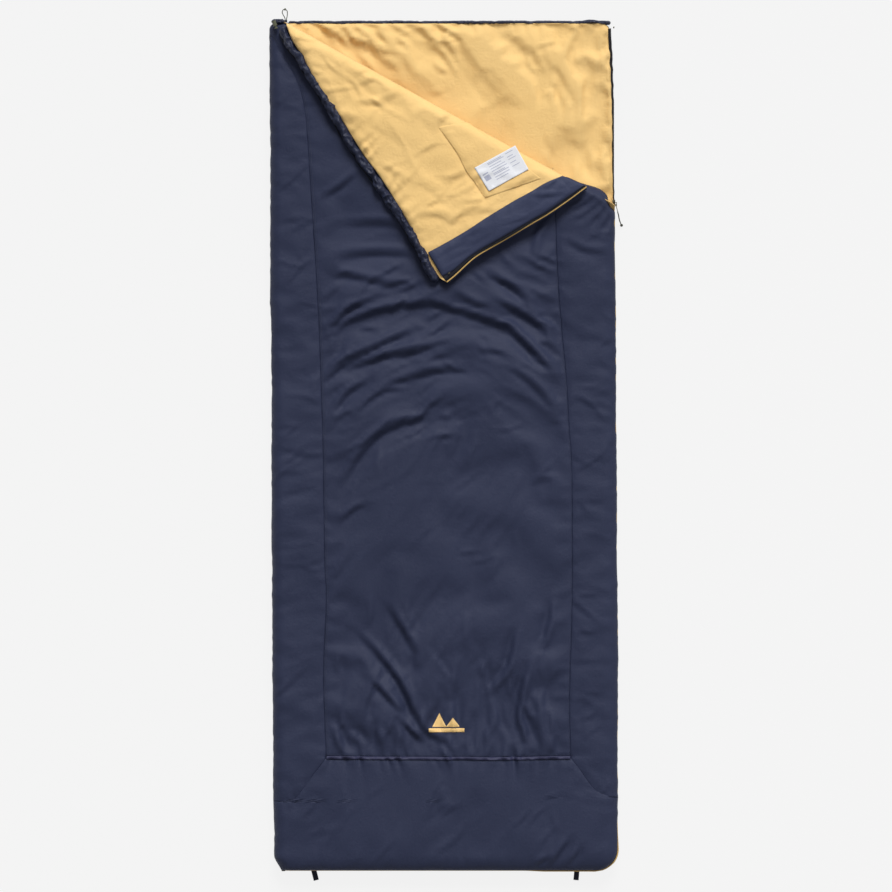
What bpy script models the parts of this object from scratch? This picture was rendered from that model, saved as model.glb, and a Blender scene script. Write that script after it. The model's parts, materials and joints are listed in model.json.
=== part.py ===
"""Rectangular sleeping bag lying flat, with one head corner of the cover folded back.

Metres, +X towards the zip side, +Y towards the head, +Z up. The origin is the middle of the
underside. The bag is two quilts: the back lies on the ground and the cover lies over it, joined
along the left side, and zipped together along the right side and the foot.
"""

import math

import bmesh
import bpy
from mathutils import Matrix, Vector

# Quilts: each is a shell cloth, a sheet of insulation and a lining cloth.
LEFT_X = -0.4045
RIGHT_X = 0.400
FOOT_Y = -0.997
HEAD_Y = 0.990
QUILT = 0.026
CLOTH = 0.003
GAP = 0.0003
SLEEP_GAP = 0.008
LOFT_INSET = 0.004
LOFT_EDGE = 0.006
CLOTH_EDGE = 0.001
CORNER_RADIUS = 0.052
HEAD_RADIUS = 0.018
LEFT_CUT_X = 0.020
LEFT_CUT_Y = 0.034

# Heights
BACK_TOP = QUILT
COVER_LOW = BACK_TOP + SLEEP_GAP
COVER_TOP = COVER_LOW + QUILT
CHAIN_Z = (BACK_TOP + COVER_LOW) / 2
FOLD_Z = COVER_TOP + 0.0005
FLAP_LOW = FOLD_Z + 0.0005
FLAP_TOP = FLAP_LOW + QUILT

# Fold line of the cover, from the left end A to the right end C, and the folded corner.
FOLD_A = Vector((-0.3725, 0.9970))
FOLD_C = Vector((0.3960, 0.5717))
FOLD_SLIT = 0.0005
FLAP_TIP = Vector((-0.0090, 0.3930))
FLAP_ZIP_TOP = Vector((0.3300, 0.6055))
FLAP_ZIP_END = 0.93

# Seams of the cover's shell
SEAM_Y = -0.7315
LEFT_SEAM = [(-0.3500, 0.9845), (-0.3230, 0.7780), (-0.2950, 0.3320), (-0.2794, -0.2670), (-0.2750, SEAM_Y)]
RIGHT_SEAM = [(0.2640, 0.6447), (0.2785, 0.2826), (0.3030, -0.0580), (0.3010, SEAM_Y)]
LEFT_MITRE = (-0.3537, -0.8336)
RIGHT_MITRE = (0.3700, -0.8150)
SEAM_GAP = 0.0010
FOOT_PIPING_WIDTH = 0.007
FOOT_PIPING_HEIGHT = 0.0010

# Zip: tapes stand on edge outside the quilts, and the coils face each other across a slit.
TAPE_THICK = 0.0010
TAPE_HEIGHT = 0.0145
COIL_THICK = 0.0020
COIL_HEIGHT = 0.0022
COIL_SLIT = 0.0010
PIPING_RADIUS = 0.0014
PIPING_OUT = 0.0033
PIPING_UP = 0.018
ZIP_FOOT_END = -0.3720
BACK_COIL_TOP = 0.984
COVER_COIL_TOP = 0.556
CORNER_STEPS = 8

# Slider and puller
SLIDER_Y = 0.572
SLIDER_LENGTH = 0.016
OUTER_PLATE = (0.4028, 0.4043)
INNER_PLATE = (0.3975, 0.3989)
OUTER_PLATE_HALF = 0.0055
INNER_PLATE_HALF = 0.0030
BRIDGE_HALF = 0.0006
BRIDGE_SPAN = (0.0025, 0.0075)
BAIL_TOP = 0.4083
BAIL_UNDER = 0.4068
BAIL_HALF_LENGTH = 0.0045
BAIL_HALF_WIDTH = 0.0013
PIVOT_X = 0.40555
PIVOT_Y = SLIDER_Y - 0.0018
PULLER_THICK = 0.0014
PULLER_BAR = 0.0014
PULLER_HALF_WIDTH = 0.0034
PULLER_EYE_LENGTH = 0.0075
PULLER_LENGTH = 0.0180
PULLER_LEAN = math.radians(14)
CORD_RADIUS = 0.0013
KNOT_RADIUS = 0.0034

# Head hem, drawcord, cord lock
HEM_WIDTH = 0.010
HEM_HEIGHT = 0.020
HEM_WALL = 0.0015
BACK_HEM_SPAN = (-0.362, 0.392)
COVER_HEM_SPAN = (-0.4025, -0.3800)
CORD_END_IN = 0.004
FLAP_HEM_RADIUS = 0.010
FLAP_HEM_START = 0.020
FLAP_HEM_PAST_TIP = 0.004
DRAWCORD_RADIUS = 0.0015
LOOP_CORD_RADIUS = 0.0010
TAB_X = -0.3722
BEAD_RADII = (0.0018, 0.0027)
BEAD_HALF = 0.0018
BEAD_POINT = 6
TAB_SIZE = (0.0072, 0.0050, 0.0080)
TAB_Z = 0.0120
LOCK_BASE = Vector((-0.3985, 0.9985, COVER_TOP + 0.0050))
LOCK_TURN = math.atan2(-0.944, 0.330)
LOCK_RADIUS = 0.0045
LOCK_BORE = 0.0030
LOCK_LENGTH = 0.0130
LOCK_WALL = 0.0015
PLUNGER_RADIUS = 0.0027
PLUNGER_CAP_RADIUS = 0.0040
PLUNGER_SPAN = (0.0060, 0.0170)
PLUNGER_CAP = 0.0025
LOCK_HOLE_RADIUS = 0.0016
LOCK_HOLE_AT = 0.0085
PLUNGER_TRAVEL = 0.0036
SPRING_RADIUS = 0.0021
SPRING_WIRE = 0.0003
SPRING_TURNS = 4

# Hang loops at the foot: (middle x, lean in degrees)
HANG_LOOPS = {"hang_loop_left": (-0.3065, 14.0), "hang_loop_right": (0.3150, -5.0)}
WEBBING_WIDTH = 0.012
WEBBING_THICK = 0.0012
LOOP_LENGTH = 0.0262
LOOP_INNER = 0.0046
LOOP_LOW = 0.0036

# Trim on the flap and the cover
DRAFT_TUBE_INNER = [(0.2740, 0.6310), (-0.0364, 0.4560)]
DRAFT_TUBE_SPAN = (0.045, 0.925)
DRAFT_TUBE_BACK = 0.0035
DRAFT_HEIGHT = 0.0057
POCKET = [(-0.0120, 0.7480), (0.1100, 0.5640), (0.2290, 0.6260), (0.0440, 0.7560)]
POCKET_THICK = 0.0012
LABEL_CORNERS = [(0.0717, 0.6550), (0.1704, 0.7070), (0.2010, 0.6500), (0.1090, 0.5985)]
LABEL_THICK = 0.0005
EMBLEM_AT = (0.0070, -0.6490)
EMBLEM_THICK = 0.0010

bag = bpy.data.collections.new("rectangular_sleeping_bag")
cutters = bpy.data.collections.new("cutters")


def clear_scene():
    for thing in list(bpy.data.objects):
        bpy.data.objects.remove(thing, do_unlink=True)
    bpy.context.scene.collection.children.link(bag)
    bpy.context.scene.collection.children.link(cutters)


def material(name, colour, roughness, metallic=0.0):
    """One Principled finish, shared by the sub-parts cut from the same stuff."""
    if name in bpy.data.materials:
        return bpy.data.materials[name]
    made = bpy.data.materials.new(name)
    made.use_nodes = True
    shader = made.node_tree.nodes["Principled BSDF"]
    shader.inputs["Base Color"].default_value = (*colour, 1.0)
    shader.inputs["Roughness"].default_value = roughness
    shader.inputs["Metallic"].default_value = metallic
    return made


def shell_cloth():
    return material("shell_navy", (0.035, 0.043, 0.085), 0.55)


def lining_cloth():
    return material("lining_yellow", (0.80, 0.50, 0.18), 0.75)


def insulation():
    return material("insulation_white", (0.86, 0.86, 0.84), 0.95)


def zip_cloth():
    return material("zip_tape_black", (0.012, 0.013, 0.020), 0.70)


def coil_plastic():
    return material("coil_nylon", (0.015, 0.016, 0.024), 0.40)


def piping_cloth():
    return material("piping_yellow", (0.72, 0.48, 0.16), 0.65)


def webbing():
    return material("webbing_black", (0.014, 0.016, 0.030), 0.80)


def slider_metal():
    return material("slider_metal", (0.16, 0.15, 0.11), 0.35, 0.9)


def cord_stuff():
    return material("cord_olive", (0.09, 0.09, 0.06), 0.75)


def lock_plastic():
    return material("lock_plastic", (0.10, 0.11, 0.07), 0.45)


def spring_steel():
    return material("spring_steel", (0.55, 0.55, 0.56), 0.30, 1.0)


def finish(obj, made_of):
    """Puts the object in the bag's collection with its material."""
    obj.data.materials.append(made_of)
    for home in list(obj.users_collection):
        home.objects.unlink(obj)
    bag.objects.link(obj)
    return obj


def plate(name, outline, low, high, made_of, edge=0.0, inset=0.0):
    """A flat outline in XY, solid from low to high, with its edges rounded by edge."""
    curve = bpy.data.curves.new(name, "CURVE")
    curve.dimensions = "2D"
    curve.fill_mode = "BOTH"
    curve.extrude = (high - low) / 2 - edge
    curve.bevel_depth = edge
    curve.bevel_resolution = 1 if edge else 0
    curve.offset = -(edge + inset)
    spline = curve.splines.new("POLY")
    spline.points.add(len(outline) - 1)
    for point, (x, y) in zip(spline.points, outline):
        point.co = (x, y, 0.0, 1.0)
    spline.use_cyclic_u = True
    obj = bpy.data.objects.new(name, curve)
    obj.location.z = (low + high) / 2
    return finish(obj, made_of)


def tube(name, route, radius, made_of):
    """A cord or piping of round section along a list of points."""
    curve = bpy.data.curves.new(name, "CURVE")
    curve.dimensions = "3D"
    curve.bevel_depth = radius
    curve.bevel_resolution = 2
    curve.use_fill_caps = True
    spline = curve.splines.new("POLY")
    spline.points.add(len(route) - 1)
    for point, place in zip(spline.points, route):
        point.co = (*place, 1.0)
    return finish(bpy.data.objects.new(name, curve), made_of)


def turned(name, profile, made_of, steps=20):
    """A profile of (radius, height) points turned about the object's own Z."""
    mesh = bpy.data.meshes.new(name)
    points = [(radius, 0.0, height) for radius, height in profile]
    mesh.from_pydata(points, [(i, i + 1) for i in range(len(points) - 1)], [])
    obj = bpy.data.objects.new(name, mesh)
    screw = obj.modifiers.new("turn", "SCREW")
    screw.steps = steps
    screw.render_steps = steps
    screw.use_merge_vertices = True
    screw.merge_threshold = 0.00001
    return finish(obj, made_of)


def box(name, low, high, made_of):
    """A rectangular block between two corners."""
    mesh = bpy.data.meshes.new(name)
    shape = bmesh.new()
    bmesh.ops.create_cube(shape, size=1.0)
    size = [b - a for a, b in zip(low, high)]
    middle = [(a + b) / 2 for a, b in zip(low, high)]
    bmesh.ops.scale(shape, vec=size, verts=shape.verts)
    bmesh.ops.translate(shape, vec=middle, verts=shape.verts)
    shape.to_mesh(mesh)
    shape.free()
    return finish(bpy.data.objects.new(name, mesh), made_of)


def rounded(obj, width, segments=2):
    bevel = obj.modifiers.new("rounded", "BEVEL")
    bevel.width = width
    bevel.segments = segments
    return obj


def as_cutter(obj):
    """Moves an object out of the bag, so that it only cuts or joins."""
    bag.objects.unlink(obj)
    cutters.objects.link(obj)
    obj.hide_render = True
    obj.display_type = "WIRE"
    return obj


def combine(obj, other, operation):
    step = obj.modifiers.new(other.name, "BOOLEAN")
    step.operation = operation
    step.solver = "EXACT"
    step.object = as_cutter(other)


def pivot(name, place):
    """An empty on a joint's axis."""
    empty = bpy.data.objects.new(name, None)
    empty.location = place
    bag.objects.link(empty)
    return empty


def hang_on(empty, pieces):
    for piece in pieces:
        piece.parent = empty
        piece.location -= empty.location


def arc(middle, radius, start, end, steps):
    """Points on a circle from start to end, in degrees."""
    turns = [math.radians(start + (end - start) * i / steps) for i in range(steps + 1)]
    return [(middle[0] + radius * math.cos(t), middle[1] + radius * math.sin(t)) for t in turns]


def smooth_route(points, per_span):
    """A Catmull-Rom curve through the points."""
    points = [Vector(p) for p in points]
    padded = [2 * points[0] - points[1], *points, 2 * points[-1] - points[-2]]
    route = []
    for i in range(len(points) - 1):
        a, b, c, d = padded[i : i + 4]
        for step in range(per_span):
            t = step / per_span
            pull = (2 * a - 5 * b + 4 * c - d) * t * t + (3 * b - a - 3 * c + d) * t * t * t
            route.append((2 * b + (c - a) * t + pull) / 2)
    return [*route, points[-1]]


def fold_direction():
    return (FOLD_A - FOLD_C).normalized()


def fold_point(x, shift):
    """The point at x on the line that lies shift towards the foot from the fold."""
    along = fold_direction()
    inward = Vector((-along.y, along.x))
    base = FOLD_C + inward * shift
    return (x, base.y + (x - base.x) * along.y / along.x)


def foot_corners():
    """The quilt's foot end: the zip side is round, and the folded side is cut off."""
    middle = (RIGHT_X - CORNER_RADIUS, FOOT_Y + CORNER_RADIUS)
    cut = [(LEFT_X + LEFT_CUT_X, FOOT_Y), (LEFT_X + 0.008, FOOT_Y + 0.014), (LEFT_X, FOOT_Y + LEFT_CUT_Y)]
    return arc(middle, CORNER_RADIUS, 0, -90, CORNER_STEPS) + cut


def back_outline():
    left = arc((LEFT_X + HEAD_RADIUS, HEAD_Y - HEAD_RADIUS), HEAD_RADIUS, 180, 90, 3)
    right = arc((RIGHT_X - HEAD_RADIUS, HEAD_Y - HEAD_RADIUS), HEAD_RADIUS, 90, 0, 3)
    return left + right + foot_corners()


def fold_at_head(shift):
    """Where the line beside the fold meets the head end of the cover."""
    slope = fold_direction().y / fold_direction().x
    y_at_zero = fold_point(0.0, shift)[1]
    return ((HEAD_Y - y_at_zero) / slope, HEAD_Y)


def cover_outline():
    left = arc((LEFT_X + HEAD_RADIUS, HEAD_Y - HEAD_RADIUS), HEAD_RADIUS, 180, 90, 3)
    return left + [fold_at_head(FOLD_SLIT), fold_point(RIGHT_X, FOLD_SLIT)] + foot_corners()


def flap_outline():
    start = fold_point(FOLD_A.x + 0.012, FOLD_SLIT)
    return [start, tuple(FLAP_TIP), fold_point(FLAP_ZIP_TOP.x, FOLD_SLIT)]


def zip_line(outward, head):
    """The zip's path outside the quilts, from head down the right side and along the foot."""
    middle = (RIGHT_X - CORNER_RADIUS, FOOT_Y + CORNER_RADIUS)
    bend = arc(middle, CORNER_RADIUS + outward, 0, -90, CORNER_STEPS)
    return [(RIGHT_X + outward, head), *bend, (ZIP_FOOT_END, FOOT_Y - outward)]


def zip_band(name, inner, outer, head, low, high, made_of):
    outline = zip_line(outer, head) + zip_line(inner, head)[::-1]
    return plate(name, outline, low, high, made_of)


def make_quilt_core(name, outline, low, shell_below):
    """Insulation and lining of one quilt. The shell is above or below them."""
    lining_low = low + QUILT - CLOTH if shell_below else low
    loft_low = low + CLOTH + GAP
    loft_high = low + QUILT - CLOTH - GAP
    loft = plate(
        f"{name}_insulation", outline, loft_low, loft_high, insulation(), LOFT_EDGE, LOFT_INSET
    )
    lining = plate(f"{name}_lining", outline, lining_low, lining_low + CLOTH, lining_cloth(), CLOTH_EDGE)
    return [loft, lining]


def make_back():
    make_quilt_core("back", back_outline(), 0.0, True)
    plate("back_shell", back_outline(), 0.0, CLOTH, shell_cloth(), CLOTH_EDGE)
    start, end = BACK_HEM_SPAN
    make_hem("back_hem", start, end, BACK_TOP / 2)
    middle_y = HEAD_Y + GAP + HEM_WIDTH / 2
    ends = [(x, middle_y, BACK_TOP / 2) for x in (start + CORD_END_IN, end - CORD_END_IN)]
    tube("back_drawcord", ends, DRAWCORD_RADIUS, cord_stuff())


def make_hem(name, start_x, end_x, middle_z):
    """A hollow cloth channel along the head end, flattened to the hem's width."""
    obj = open_cylinder(name, HEM_HEIGHT / 2, HEM_WIDTH / 2, end_x - start_x)
    obj.location = ((start_x + end_x) / 2, HEAD_Y + GAP + HEM_WIDTH / 2, middle_z)
    obj.rotation_euler.y = math.pi / 2
    hollow_out(obj)
    return finish(obj, shell_cloth())


def open_cylinder(name, half_x, half_y, length):
    """The side wall of an elliptical cylinder along Z, with no ends."""
    mesh = bpy.data.meshes.new(name)
    shape = bmesh.new()
    bmesh.ops.create_cone(shape, cap_ends=False, segments=20, radius1=1.0, radius2=1.0, depth=length)
    bmesh.ops.scale(shape, vec=(half_x, half_y, 1.0), verts=shape.verts)
    shape.to_mesh(mesh)
    shape.free()
    return bpy.data.objects.new(name, mesh)


def hollow_out(obj):
    wall = obj.modifiers.new("wall", "SOLIDIFY")
    wall.thickness = HEM_WALL
    wall.offset = -1.0


def make_cover_shell():
    """Four cloth panels, with a slit where each seam runs."""
    low = COVER_TOP - CLOTH
    half = SEAM_GAP / 2
    left_in = [(x + half, y) for x, y in LEFT_SEAM]
    left_out = [(x - half, y) for x, y in LEFT_SEAM]
    right_in = [(x - half, y) for x, y in RIGHT_SEAM]
    right_out = [(x + half, y) for x, y in RIGHT_SEAM]
    left_in[0] = fold_point(left_in[0][0], 0.003)
    right_in[0] = fold_point(right_in[0][0], 0.003)
    right_out[0] = fold_point(right_out[0][0], 0.003)
    left_in[-1] = (left_in[-1][0], SEAM_Y + half)
    right_in[-1] = (right_in[-1][0], SEAM_Y + half)
    centre = left_in + right_in[::-1]
    head = arc((LEFT_X + HEAD_RADIUS, HEAD_Y - HEAD_RADIUS), HEAD_RADIUS, 180, 90, 3)
    left_foot = [(LEFT_MITRE[0], LEFT_MITRE[1] + half), (LEFT_X, LEFT_MITRE[1] + half - 0.003)]
    left = head + [left_out[0]] + left_out[1:] + left_foot
    right_foot = [(RIGHT_MITRE[0], RIGHT_MITRE[1] + half), (RIGHT_X, RIGHT_MITRE[1] + half - 0.012)]
    right = [fold_point(RIGHT_X, 0.003)] + right_foot[::-1] + right_out[::-1]
    foot = [
        (LEFT_X, LEFT_MITRE[1] - half - 0.003),
        (LEFT_MITRE[0], LEFT_MITRE[1] - half),
        (LEFT_SEAM[-1][0] - half, SEAM_Y - half),
        (RIGHT_SEAM[-1][0] + half, SEAM_Y - half),
        (RIGHT_MITRE[0], RIGHT_MITRE[1] - half),
        (RIGHT_X, RIGHT_MITRE[1] - half - 0.012),
        *foot_corners(),
    ]
    panels = {"cover_centre_panel": centre, "cover_left_panel": left}
    panels |= {"cover_right_panel": right, "cover_foot_panel": foot}
    return [plate(name, line, low, COVER_TOP, shell_cloth()) for name, line in panels.items()]


def make_foot_piping():
    """The coloured strip sewn into the seam between centre and foot panels."""
    low = (LEFT_SEAM[-1][0], SEAM_Y - FOOT_PIPING_WIDTH / 2, COVER_TOP + GAP)
    high = (RIGHT_SEAM[-1][0], SEAM_Y + FOOT_PIPING_WIDTH / 2, COVER_TOP + GAP + FOOT_PIPING_HEIGHT)
    return box("foot_seam_piping", low, high, material("piping_violet", (0.045, 0.040, 0.130), 0.6))


def make_emblem():
    """A plain embroidered motif: two hills on a bar."""
    hills = [(-0.042, -0.022), (0.042, -0.022), (0.042, -0.010), (0.026, -0.010), (0.014, 0.010)]
    hills += [(0.006, 0.000), (-0.008, 0.022), (-0.026, -0.010), (-0.042, -0.010)]
    outline = [(EMBLEM_AT[0] + x, EMBLEM_AT[1] + y) for x, y in hills]
    low = COVER_TOP + GAP
    return plate("embroidered_emblem", outline, low, low + EMBLEM_THICK, piping_cloth())


def make_zip_side(name, head, up):
    """Tape and coil of one quilt. The cover's hang down to the slit and the back's stand up to it."""
    coil_near = CHAIN_Z + up * COIL_SLIT
    coil_far = coil_near + up * COIL_HEIGHT
    tape_near = coil_far + up * GAP
    tape_far = tape_near + up * TAPE_HEIGHT
    heights = sorted((tape_near, tape_far))
    tape = zip_band(f"{name}_zip_tape", GAP, GAP + TAPE_THICK, head, *heights, zip_cloth())
    heights = sorted((coil_near, coil_far))
    coil = zip_band(f"{name}_zip_coil", -0.0001, COIL_THICK, head, *heights, coil_plastic())
    return [tape, coil]


def make_cover_piping():
    """Piping along the cover's zip seam, round the foot corner."""
    route = [(x, y, COVER_LOW + PIPING_UP) for x, y in zip_line(PIPING_OUT, COVER_COIL_TOP - 0.010)]
    return tube("cover_zip_piping", route, PIPING_RADIUS, piping_cloth())


def make_zip_ends():
    """The stop above the back's coil, and the box that holds both coils at the foot."""
    low = (RIGHT_X - 0.0004, BACK_COIL_TOP + GAP, CHAIN_Z - 0.0036)
    high = (RIGHT_X + 0.0024, BACK_COIL_TOP + 0.0045, CHAIN_Z - 0.0006)
    rounded(box("back_zip_top_stop", low, high, slider_metal()), 0.0004)
    low = (ZIP_FOOT_END - 0.0090, FOOT_Y - 0.0032, CHAIN_Z - 0.0036)
    high = (ZIP_FOOT_END - 0.0007, FOOT_Y + 0.0006, CHAIN_Z + 0.0036)
    rounded(box("zip_end_box", low, high, slider_metal()), 0.0006)


def make_flap():
    """The folded corner, lining up: shell below, insulation, lining above."""
    outline = flap_outline()
    pieces = make_quilt_core("flap", outline, FLAP_LOW, True)
    pieces.append(plate("flap_shell", outline, FLAP_LOW, FLAP_LOW + CLOTH, shell_cloth(), CLOTH_EDGE))
    pieces += make_flap_hem()
    pieces += make_flap_zip()
    pieces += make_flap_trim()
    return pieces


def make_flap_hem():
    """The gathered head hem of the flap, a cloth channel with the drawcord inside."""
    start = Vector(flap_outline()[0])
    run = (FLAP_TIP - start).normalized()
    left = Vector((run.y, -run.x))
    middle_z = (FLAP_LOW + FLAP_TOP) / 2
    offset = left * (FLAP_HEM_RADIUS + 2 * GAP)
    first = start + run * FLAP_HEM_START + offset
    last = FLAP_TIP + run * FLAP_HEM_PAST_TIP + offset
    hem = open_cylinder("flap_hem", FLAP_HEM_RADIUS, FLAP_HEM_RADIUS, (last - first).length)
    hem.location = (*((first + last) / 2), middle_z)
    hem.rotation_euler = (math.pi / 2, 0.0, math.atan2(run.y, run.x) + math.pi / 2)
    hollow_out(hem)
    finish(hem, shell_cloth())
    ends = [(*(first + run * CORD_END_IN), middle_z), (*(last - run * CORD_END_IN), middle_z)]
    return [hem, tube("flap_drawcord", ends, DRAWCORD_RADIUS, cord_stuff())]


def flap_edge(along, outward):
    """A point beside the flap's zip edge: along it from the tip, and outward from it."""
    run = FLAP_ZIP_TOP - FLAP_TIP
    length = run.length
    run.normalize()
    out = Vector((run.y, -run.x))
    return FLAP_TIP + run * (along * length) + out * outward


def flap_band(name, span, across, heights, made_of):
    """A strip along the flap's zip edge, between two shares of its length."""
    corners = [(span[0], across[0]), (span[0], across[1]), (span[1], across[1]), (span[1], across[0])]
    return plate(name, [tuple(flap_edge(*corner)) for corner in corners], *heights, made_of)


def make_flap_zip():
    """Tape, coil, piping and stop along the flap's zip edge."""
    coil_low = FLAP_TOP + 0.0008
    tape_high = coil_low - GAP
    tape_heights = (tape_high - TAPE_HEIGHT, tape_high)
    coil_heights = (coil_low, coil_low + COIL_HEIGHT)
    stop_heights = (coil_low, coil_low + 0.0028)
    end = FLAP_ZIP_END
    piping_z = FLAP_TOP - PIPING_UP
    route = [(*flap_edge(along, PIPING_OUT), piping_z) for along in (0.055, end)]
    return [
        flap_band("flap_zip_tape", (0.050, end), (GAP, GAP + TAPE_THICK), tape_heights, zip_cloth()),
        flap_band("flap_zip_coil", (0.070, end), (0.0, COIL_THICK), coil_heights, coil_plastic()),
        flap_band("flap_zip_top_stop", (0.058, 0.0693), (0.0, 0.0024), stop_heights, slider_metal()),
        tube("flap_zip_piping", route, PIPING_RADIUS, piping_cloth()),
    ]


def make_flap_trim():
    """Draft tube, inner pocket and care label on the lining."""
    low = FLAP_TOP + GAP
    label_low = low + POCKET_THICK + GAP
    draft = [tuple(flap_edge(t, -DRAFT_TUBE_BACK)) for t in DRAFT_TUBE_SPAN] + DRAFT_TUBE_INNER
    return [
        plate("draft_tube", draft, low, low + DRAFT_HEIGHT, shell_cloth(), 0.0020),
        plate("inner_pocket", POCKET, low, low + POCKET_THICK, lining_cloth()),
        plate(
            "care_label", LABEL_CORNERS, label_low, label_low + LABEL_THICK,
            material("label_white", (0.78, 0.79, 0.86), 0.6),
        ),
    ]


def make_slider():
    """Two plates astride the chain, joined through the slit at the head end, and a bail outside."""
    half = SLIDER_LENGTH / 2
    body = box(
        "zip_slider",
        (OUTER_PLATE[0], SLIDER_Y - half, CHAIN_Z - OUTER_PLATE_HALF),
        (OUTER_PLATE[1], SLIDER_Y + half, CHAIN_Z + OUTER_PLATE_HALF),
        slider_metal(),
    )
    inner = box(
        "slider_inner_plate",
        (INNER_PLATE[0], SLIDER_Y - half, CHAIN_Z - INNER_PLATE_HALF),
        (INNER_PLATE[1], SLIDER_Y + half, CHAIN_Z + INNER_PLATE_HALF),
        slider_metal(),
    )
    bridge = box(
        "slider_bridge",
        (INNER_PLATE[0] + 0.0005, SLIDER_Y + BRIDGE_SPAN[0], CHAIN_Z - BRIDGE_HALF),
        (OUTER_PLATE[1] - 0.0005, SLIDER_Y + BRIDGE_SPAN[1], CHAIN_Z + BRIDGE_HALF),
        slider_metal(),
    )
    bail = box(
        "slider_bail",
        (OUTER_PLATE[1] - 0.0005, PIVOT_Y - BAIL_HALF_LENGTH, CHAIN_Z - BAIL_HALF_WIDTH),
        (BAIL_TOP, PIVOT_Y + BAIL_HALF_LENGTH, CHAIN_Z + BAIL_HALF_WIDTH),
        slider_metal(),
    )
    opening = box(
        "slider_bail_opening",
        (OUTER_PLATE[1], PIVOT_Y - BAIL_HALF_LENGTH + 0.0015, CHAIN_Z - 0.01),
        (BAIL_UNDER, PIVOT_Y + BAIL_HALF_LENGTH - 0.0015, CHAIN_Z + 0.01),
        slider_metal(),
    )
    combine(bail, opening, "DIFFERENCE")
    rounded(body, 0.0005)
    rounded(inner, 0.0004)
    combine(body, inner, "UNION")
    combine(body, bridge, "UNION")
    combine(body, bail, "UNION")
    return body


def make_puller():
    """A flat tab whose crossbar turns under the bail, with a knotted cord through its end."""
    near = -PULLER_BAR / 2
    eye = near + PULLER_BAR + PULLER_EYE_LENGTH
    tab = box(
        "puller_tab",
        (-PULLER_THICK / 2, -PULLER_LENGTH, -PULLER_HALF_WIDTH),
        (PULLER_THICK / 2, -near, PULLER_HALF_WIDTH),
        slider_metal(),
    )
    hole = box("puller_eye", (-0.01, -eye, -0.0020), (0.01, near, 0.0020), slider_metal())
    cord_hole = box("puller_cord_hole", (-0.01, -0.0160, -0.0016), (0.01, -0.0130, 0.0016), slider_metal())
    for piece in (tab, hole, cord_hole):
        piece.rotation_euler.z = PULLER_LEAN
        piece.location = (PIVOT_X, PIVOT_Y, CHAIN_Z)
    rounded(tab, 0.0004)
    combine(tab, hole, "DIFFERENCE")
    combine(tab, cord_hole, "DIFFERENCE")
    route = smooth_route(puller_cord_points(), 3)
    cord = tube("puller_cord", route, CORD_RADIUS, cord_stuff())
    knot = make_knot(route[-1])
    return [tab, cord, knot]


def puller_cord_points():
    """From the tab's end, out and down to the ground beside the bag."""
    end = Vector((math.sin(PULLER_LEAN), -math.cos(PULLER_LEAN), 0.0)) * (PULLER_LENGTH + GAP)
    start = Vector((PIVOT_X, PIVOT_Y, CHAIN_Z)) + end
    steps = [(0, 0, 0), (0.0012, -0.0045, -0.0008), (0.0024, -0.0090, -0.0042), (0.0032, -0.0125, -0.0095)]
    steps += [(0.0040, -0.0150, -0.0150), (0.0050, -0.0180, -0.0205), (0.0066, -0.0225, -0.0240)]
    steps += [(0.0088, -0.0275, -0.0258)]
    return [start + Vector(step) for step in steps]


def make_knot(end):
    """The knot at the cord's end, a round lump just clear of the cord."""
    mesh = bpy.data.meshes.new("puller_knot")
    shape = bmesh.new()
    bmesh.ops.create_uvsphere(shape, u_segments=16, v_segments=10, radius=KNOT_RADIUS)
    shape.to_mesh(mesh)
    shape.free()
    knot = bpy.data.objects.new("puller_knot", mesh)
    heading = Vector((0.40, -0.91, 0.0)).normalized()
    place = Vector(end) + heading * (KNOT_RADIUS + GAP)
    knot.location = (place.x, place.y, max(place.z, KNOT_RADIUS + GAP))
    return finish(knot, cord_stuff())


def make_hang_loop(name, middle_x, lean):
    """Webbing folded into a loop that stands out from the foot seam."""
    inner = LOOP_INNER / 2
    outer = inner + WEBBING_THICK
    straight = LOOP_LENGTH - outer
    around = arc((straight, 0.0), outer, -90, 90, 8)
    inside = arc((straight, 0.0), inner, 90, -90, 8)
    outline = [(0.0, -outer), *around, (0.0, outer), (0.0, inner), *inside, (0.0, -inner)]
    loop = plate(name, outline, -WEBBING_WIDTH / 2, WEBBING_WIDTH / 2, webbing())
    loop.rotation_euler = (math.pi / 2, 0.0, math.radians(-90 + lean))
    clear = GAP + WEBBING_WIDTH / 2 * abs(math.sin(math.radians(lean)))
    loop.location = (middle_x, FOOT_Y - clear, LOOP_LOW + outer)
    return loop


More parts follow.
